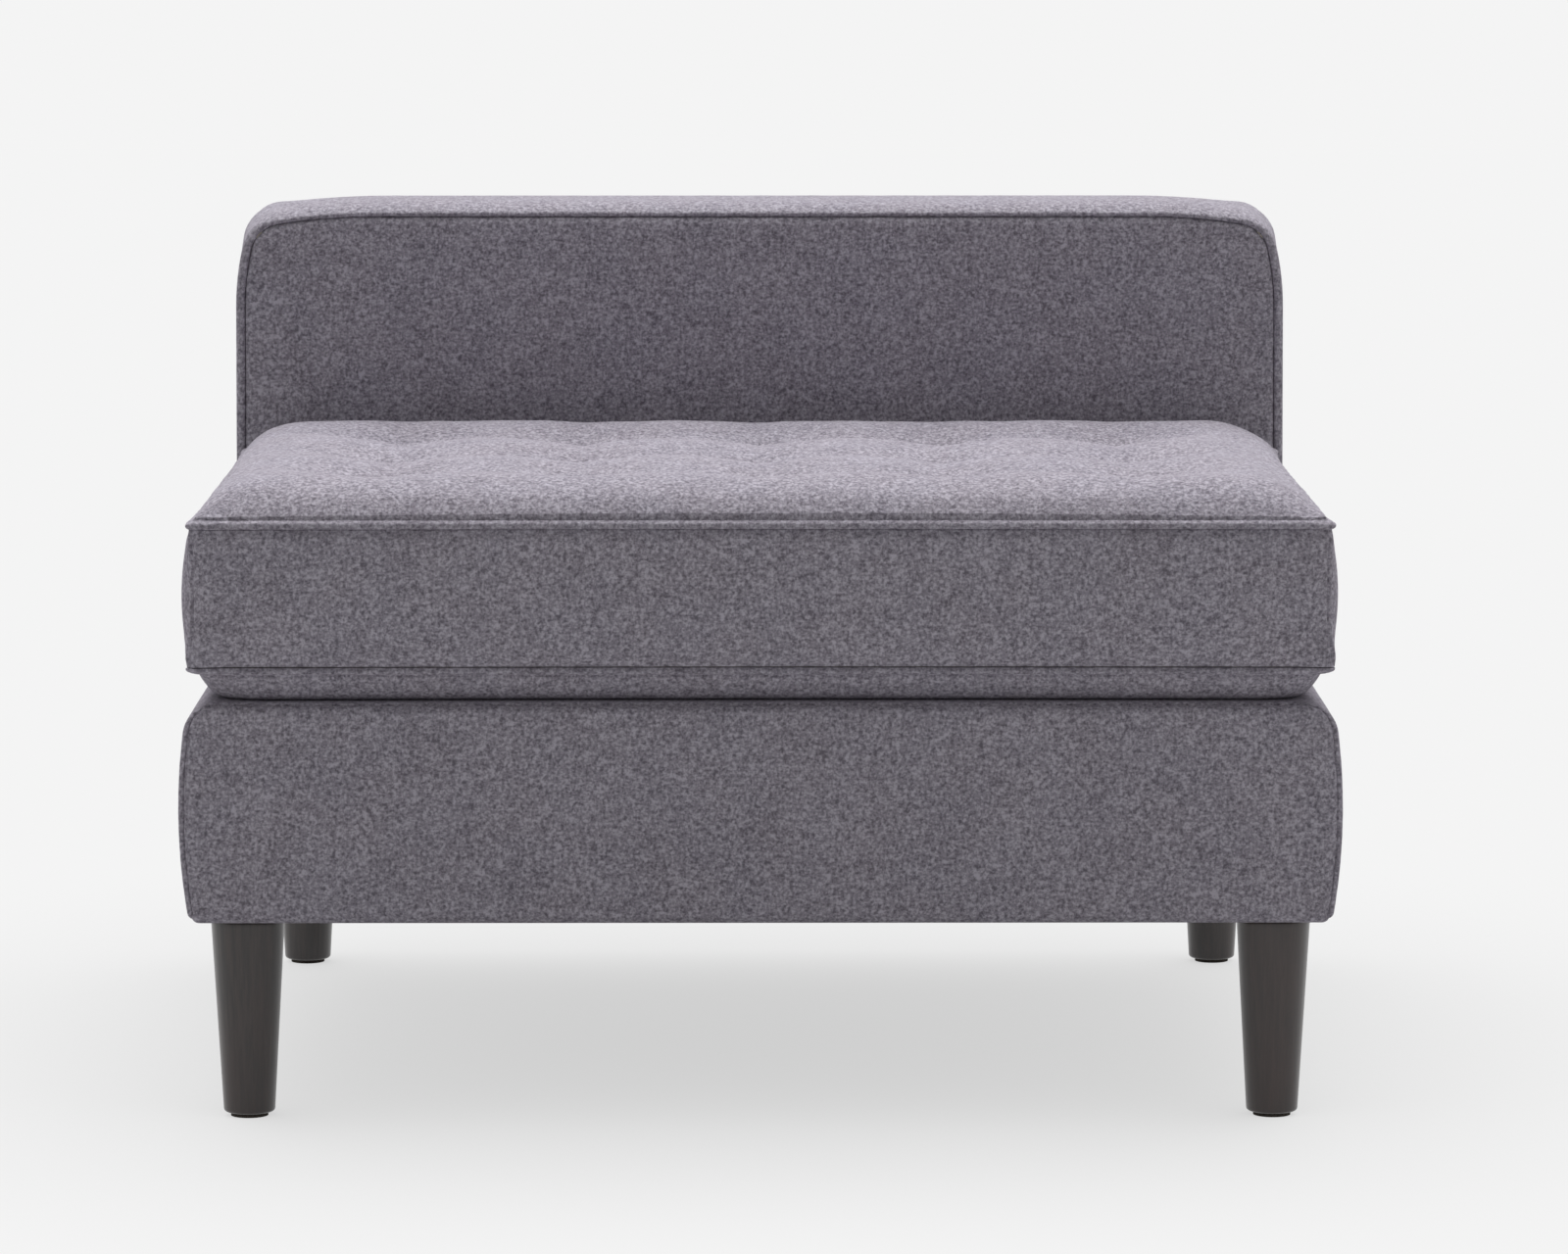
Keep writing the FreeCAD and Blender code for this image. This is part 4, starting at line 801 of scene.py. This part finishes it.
def pillowHeight(x, y):
    # Height of the tufted top over the upper seam
    within = np.minimum(y - cushion["front"], cushion["rear"] - y)
    beside = cushion["half"] - np.abs(x)

    def lift(distance, reach):
        # steep at the seam, then slower and slower
        return 1 - (1 - np.clip((distance - 0.0040) / reach, 0, 1)) ** cushion["edgePower"]

    height = cushion["crown"] - cushion["endDrop"] * smooth((np.abs(x) - 0.27) / 0.12)
    sideReach = np.where(x < 0, cushion["leftReach"], cushion["rightReach"])
    height = height * lift(within, cushion["edgeReach"]) * lift(beside, sideReach)
    inner = smooth((within - 0.02) / 0.09) * smooth((beside - 0.02) / 0.08)
    for at in tuftColumns:
        height = height - cushion["columnCrease"] * dip(x - at, cushion["creaseWidth"]) * inner
    for at in tuftRows:
        height = height - cushion["rowCrease"] * dip(y - at, cushion["creaseWidth"] * 1.15) * inner
    for at, deep in tufts:
        height = height - cushion["tuftDip"] * np.exp(-np.hypot(x - at, y - deep) / cushion["tuftWidth"])
    return np.maximum(height, 0) + cushion["edgeStart"]


# How far in from the seam and how high above it the top starts: turned-in edge, seam, the ridge
# over the seam allowance, and the groove of the top stitch. Above these it follows the pillows.
seamSteps = ((0.0066, -0.0006), (0.0036, -0.0008), (0.0018, -0.0003), (0.0006, 0.0002), (-0.0005, 0.0009),
             (-0.0013, 0.0019), (-0.0016, 0.0031), (-0.0012, 0.0042), (-0.0002, 0.0051), (0.0013, 0.0058),
             (0.0029, 0.0063), (0.0039, 0.0068), (0.0043, 0.0076))
topStops = (0.0300, 0.0262, 0.0228, 0.0198, 0.0171, 0.0147, 0.0126, 0.0107, 0.0091, 0.0078, 0.0067, 0.0058,
            0.0051, 0.0046, 0.0042)


def makeTop():
    rings = []
    gathers = ripple(rimRun, 71, (0.011, 0.017, 0.029), cushion["gather"])
    for stop in topStops:
        spot = rim.at(stop - gathers * math.exp(-stop / 0.012) * 0.8)
        height = pillowHeight(spot[:, 0], spot[:, 1]) + gathers * math.exp(-((stop - 0.008) / 0.009) ** 2)
        rings.append(np.column_stack([spot, cushion["upperSeam"] + height]))
    for inward, up in reversed(seamSteps):
        near = math.exp(-((up - 0.004) / 0.004) ** 2)
        inward = inward - gathers * 0.5 * near - ear(cushion["upperEar"], up, 0.010)
        rings.append(rimRow(inward, cushion["upperSeam"] + up))

    def inside(x, y):
        return cushion["upperSeam"] + pillowHeight(x, y) + rumple(x, y, 72, 0.07, 0.0004)
    return patchPiece("cushion_top", rings[0], rimCorners, inside, rings[1:], (0, 1, 2), upwards)


# The cloth simulation of the top, and the most that it may move a point
air = {"quality": 6, "mass": 0.01, "tension_stiffness": 12, "compression_stiffness": 12,
       "shear_stiffness": 8, "bending_stiffness": 2.5, "vertex_group_mass": "sewn", "use_pressure": True,
       "uniform_pressure_force": 24.0}
airFrames, airMost = 20, 0.008


def meshPoints(mesh):
    return np.array([vertex.co[:] for vertex in mesh.vertices])


def puff(piece, fixed):
    # Air pressure from below between the points that are sewn or tied
    mesh, before = piece.data, meshPoints(piece.data)
    group = piece.vertex_groups.new(name=air["vertex_group_mass"])
    for number, weight in enumerate(fixed):
        if weight > 0.01:
            group.add([number], float(weight), "REPLACE")
    cloth = piece.modifiers.new("puff", "CLOTH")
    for name, setting in air.items():
        setattr(cloth.settings, name, setting)
    cloth.settings.effector_weights.gravity = 0
    cloth.collision_settings.use_collision = False
    for number in range(1, airFrames + 1):
        bpy.context.scene.frame_set(number)
    move = meshPoints(piece.evaluated_get(bpy.context.evaluated_depsgraph_get()).data) - before
    piece.modifiers.remove(cloth)
    bpy.context.scene.frame_set(1)
    length = np.linalg.norm(move, axis=1)
    capped = airMost * np.tanh(length / airMost)
    move *= (capped / np.maximum(length, 1e-9))[:, None]
    mesh.vertices.foreach_set("co", (before + move).ravel())
    mesh.update()
    print("cushion top puffed: mean %.1f mm, most %.1f mm" % (1000 * capped.mean(), 1000 * capped.max()))


def heldPlaces(top):
    # 1 at the seam and at the ties, falling to 0 beside them
    x, y, _ = meshPoints(top.data).T
    seamGap = np.minimum(cushion["half"] - np.abs(x), np.minimum(y - cushion["front"], cushion["rear"] - y))
    held = 1 - smooth((seamGap - 0.012) / 0.02)
    for at, deep in tufts:
        held = np.maximum(held, 1 - smooth((np.hypot(x - at, y - deep) - 0.003) / 0.012))
    return held


top = makeTop()
puff(top, heldPlaces(top))
cover(thicken(top), "seat_cushion", "wool_felt", ("cushion_tufted_top",))
cover(makeBorder(), "seat_cushion", "wool_felt", ("cushion_border",))
for lip in list(makeZipLips()):
    cover(lip, "seat_cushion", "wool_felt", ("cushion_zipped_border",))


def trayInset(drop):
    # Ridge, stitch line and a quarter ellipse, drawn in at the corners below the seam
    along = min(drop / trayDepth, 1)
    inward = cushion["trayRoll"] * (1 - math.sqrt(1 - along ** 2)) * 0.9 + 0.0035 * smooth(drop / 0.02)
    inward += 0.0012 - 0.0026 * smooth(drop / 0.0034) * (1 - smooth((drop - 0.0036) / 0.0030))
    return inward + 0.0013 * math.exp(-((drop - cushion["trayStitch"]) / 0.0008) ** 2)


def trayLine(inward, drop):
    # One line of the tray round the cushion, at a depth below the seam
    puckers = ripple(rimRun, 81, (0.018, 0.028, 0.045), 0.0003) * math.exp(-drop / 0.012)
    drawn = 0.0085 * smooth(drop / 0.009) * np.exp(-(cornerGap / 0.020) ** 2)
    return rimRow(inward + puckers + drawn - ear(cushion["lowerEar"], drop, 0.009), cushion["lowerSeam"] - drop)


def makeTray():
    # The rolled lower edge, then flat on the deck
    drops = (0.0005, 0.0012, 0.0020, 0.0030, 0.0042, 0.0052, 0.0058, 0.0063, 0.0068, 0.0074, 0.0082, 0.0100,
             0.0125, 0.0155, 0.0182, 0.0206, 0.0224, 0.0238)
    rings = [(0.0062, 0.0003), (0.0034, 0.0004), (0.0020, 0.0002)] + [(trayInset(drop), drop) for drop in drops]
    rings += [(0.0180, trayDepth - 0.0013), (0.0215, trayDepth - 0.0003), (0.0250, trayDepth),
              (0.0320, trayDepth)]
    lines = [trayLine(*ring) for ring in reversed(rings)]
    return thicken(patchPiece("cushion_tray", lines[0], rimCorners, cushion["bottom"], lines[1:], (0, 1, 2),
                              downwards))


# The foam block inside: its top edge (inward, below the upper seam), then its levels over the
# lower seam, clear of the border, and its sole
core = {"edge": ((0.016, 0.0), (0.010, 0.0004), (0.0075, 0.0015)), "clear": 0.0055,
        "levels": (0.095, 0.085, 0.070, 0.052, 0.034, 0.020, 0.009, 0.0, -0.006, -0.012, -0.017, -0.0205),
        "depth": 0.025, "slope": 0.003, "tuck": 0.0110, "sole": (0.026, 0.0212)}


def makeCore():
    rings = [rimRow(inward, cushion["upperSeam"] - down) for inward, down in core["edge"]]
    for level in core["levels"]:
        along = max(-level, 0) / core["depth"]
        roll = cushion["trayRoll"] * (1 - math.sqrt(1 - along ** 2)) + core["slope"] * along
        drawn = core["tuck"] * smooth(-level / 0.009) * np.exp(-(cornerGap / 0.024) ** 2)
        out = borderOut(max(level / borderHeight, 0))
        rings.append(rimRow(core["clear"] + roll + drawn - out, cushion["lowerSeam"] + level))
    rings.append(rimRow(core["sole"][0], cushion["lowerSeam"] - core["sole"][1]))
    block = patchPiece("cushion_foam_core", rings[0], rimCorners, cushion["upperSeam"], rings[1:], (0, 1, 2),
                       upwards)
    shape = bmesh.new()
    shape.from_mesh(block.data)
    shape.verts.ensure_lookup_table()
    shape.faces.new(shape.verts[-rimCount:])
    bmesh.ops.recalc_face_normals(shape, faces=shape.faces)
    shape.to_mesh(block.data)
    shape.free()
    return block


cover(makeCore(), "seat_cushion", "foam", ("cushion_core",))
cover(makeTray(), "seat_cushion", "wool_felt", ("cushion_bottom_panel",))
print("cushion sewn")


# Top stitching: short thread runs that lie in the groove beside each seam. profile gives the
# thickness along a stitch.

stitch = {"length": 0.0040, "gap": 0.0016, "radius": 0.00035, "sides": 6,
          "profile": ((0, 0.35), (0.12, 0.85), (0.5, 1.0), (0.88, 0.85), (1, 0.35))}


def makeStitches(name, line):
    closed = np.concatenate([line, line[:1]])
    run = edgeRun(closed)
    count = int(run[-1] / (stitch["length"] + stitch["gap"]))
    turns = np.linspace(0, 2 * math.pi, stitch["sides"] + 1)[:-1, None]
    points, quads = [], []
    for k in range(count):
        at = [run[-1] * k / count + share * stitch["length"] for share, _ in stitch["profile"]]
        middle = np.stack([np.interp(at, run, closed[:, axis]) for axis in range(3)], axis=1)
        along = middle[-1] - middle[0]
        along /= np.linalg.norm(along)
        side = np.cross(along, (0, 0, 1))
        side /= np.linalg.norm(side)
        around = np.cos(turns) * side + np.sin(turns) * np.cross(side, along)
        quads += tubeQuads(len(points) * stitch["sides"], len(at), stitch["sides"])
        for place, (_, swell) in zip(middle, stitch["profile"]):
            points.append(place + around * stitch["radius"] * swell)
    return sewnPiece(name, np.array(points), quads)


upperLine = rimRow(0.0038, cushion["upperSeam"] + 0.0070)
lowerLine = trayLine(trayInset(cushion["trayStitch"]) - 0.0001, cushion["trayStitch"])
cover(makeStitches("top_stitching", upperLine), "seat_cushion", "wool_felt")
cover(makeStitches("tray_stitching", lowerLine), "seat_cushion", "wool_felt")


# Four turned legs in one piece

leg = {"footRadius": 0.0191, "topRadius": 0.0276, "footRound": 0.0028, "topRound": 0.0008, "inset": 0.027,
       "sides": 56, "roundParts": 8, "parts": 24, "hole": 0.0006}


def makeLegs():
    # The profile from the middle of the sole up to the middle of the top
    boxLow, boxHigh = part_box("legs")
    low, high, foot, rounding = boxLow[2], boxHigh[2], leg["footRadius"], leg["footRound"]
    slope = (leg["topRadius"] - foot) / (high - low)
    profile = [(leg["hole"], low), (foot * 0.5, low)]
    for k in range(leg["roundParts"] + 1):
        angle = math.pi / 2 * k / leg["roundParts"]
        profile.append((foot + slope * rounding - rounding * (1 - math.sin(angle)),
                        low + rounding * (1 - math.cos(angle))))
    for k in range(1, leg["parts"] + 1):
        height = rounding + (high - low - rounding - leg["topRound"]) * k / leg["parts"]
        profile.append((foot + slope * height, low + height))
    profile += [(leg["topRadius"] - 0.0007, high), (leg["topRadius"] * 0.5, high), (leg["hole"], high)]
    turns = np.linspace(0, 2 * math.pi, leg["sides"] + 1)[:-1]
    points, quads = [], []
    for x in (boxLow[0] + leg["inset"], boxHigh[0] - leg["inset"]):
        for y in (boxLow[1] + leg["inset"], boxHigh[1] - leg["inset"]):
            quads += tubeQuads(len(points), len(profile), leg["sides"])
            for radius, z in profile:
                points += [(x + radius * math.cos(turn), y + radius * math.sin(turn), z) for turn in turns]
    return sewnPiece("turned_legs", np.array(points), quads)


cover(makeLegs(), "base", "leg_wood", ("legs",))
print("legs turned")


# Every CAD node that stays gets the finish of its slot

nodeWords = {slot: numbers[0] for slot, numbers in plainFinishes.items()}
nodeWords.update({"zip_coil": ("zip_coil",), "leg_wood": ("legs",)})
for name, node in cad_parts.items():
    chosen = [slot for slot, words in nodeWords.items() if any(word in name for word in words)]
    if not node.data.materials:
        node.data.materials.append(None)
    for slot in node.material_slots:
        slot.material = finishes[chosen[0] if chosen else "wool_felt"]
print("nodes finished:", len(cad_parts))


# Floor, light and camera

# light is what the open floor gets from the lamps and the sky together. A lamp has its strength,
# its spread and its tilt.
# Two of these numbers set a painted contact shadow on the floor: how much darker it gets and how far the
# occlusion reaches.
studio = {"background": 0.905, "shadowShare": 0.10, "paintedShadowShare": 0.26, "paintedShadowReach": 0.5,
          "floorGrey": 0.48, "ambient": 0.23, "light": 1.29, "floorReach": 14.0,
          "overhead": (3.75, 60, -27), "frontFill": (0.09, 14, 62)}


def makeFloor():
    # The camera sees a plain pale floor with soft shadows, partly real and partly a painted contact shadow that
    # ambient occlusion darkens into the floor's shown colour, and the sofa gets its light back
    mesh = bpy.data.meshes.new("studio_floor")
    reach, pale = studio["floorReach"], studio["background"]
    mesh.from_pydata([(-reach, -reach, 0), (reach, -reach, 0), (reach, reach, 0), (-reach, reach, 0)], [],
                     [(0, 1, 2, 3)])
    finish = Finish("studio floor")
    speck = finish.noise(finish.place(), 40.0, 2.0, 0.5)
    toneAndPaintedShadow = finish.mix(speck, grey(pale * 0.998), grey(pale))
    lit = finish.node("BsdfDiffuse", {}, {"Color": grey(pale / studio["light"])})
    bounce = finish.node("BsdfDiffuse", {}, {"Color": grey(studio["floorGrey"])})
    # Painted contact shadow: ambient occlusion from the sofa darkens the floor colour that the camera sees.
    paintedShadowMask = finish.node("AmbientOcclusion", {"samples": 8}, {"Distance": studio["paintedShadowReach"]}, 1)
    toneAndPaintedShadow = finish.mix(paintedShadowMask, grey(pale * (1 - studio["paintedShadowShare"])), toneAndPaintedShadow)
    shown = finish.node("Emission", {}, {"Color": toneAndPaintedShadow, "Strength": 1.0})
    mixed = finish.node("MixShader", {}, {0: studio["shadowShare"], 1: shown, 2: lit})
    final = finish.node("MixShader", {}, {0: finish.seen(), 1: bounce, 2: mixed})
    finish.node("OutputMaterial", {}, {0: final})
    mesh.materials.append(finish.material)
    addObject("studio_floor", mesh)


def makeSky():
    world = bpy.data.worlds.new("studio")
    bpy.context.scene.world = world
    finish = Finish("studio sky", world)
    lit = finish.node("Background", {}, {0: grey(1), 1: studio["ambient"]})
    shown = finish.node("Background", {}, {0: grey(studio["background"]), 1: 1.0})
    mixed = finish.node("MixShader", {}, {0: finish.seen(), 1: lit, 2: shown})
    finish.node("OutputWorld", {}, {0: mixed})


def softLight(name, strength, spread, tilt):
    # A wide even light from far away. tilt is its angle from straight above towards the front.
    lamp = bpy.data.lights.new(name, "SUN")
    lamp.energy = strength
    lamp.angle = math.radians(spread)
    addObject(name, lamp).rotation_euler = (math.radians(tilt), 0, 0)


makeFloor()
makeSky()
softLight("overhead softbox", *studio["overhead"])
softLight("front fill", *studio["frontFill"])

photoCamera = {"place": (-0.006, -5.550, 0.985), "pitch": 6.773, "yaw": 0.257, "lens": 162.0}
lens = bpy.data.cameras.new("photo camera")
lens.lens = photoCamera["lens"]
lens.sensor_width = 36
camera = addObject("photo camera", lens)
camera.location = photoCamera["place"]
camera.rotation_euler = (math.radians(90 - photoCamera["pitch"]), 0, math.radians(-photoCamera["yaw"]))
bpy.context.scene.camera = camera
bpy.context.scene.view_settings.view_transform = "Standard"
print("studio ready")
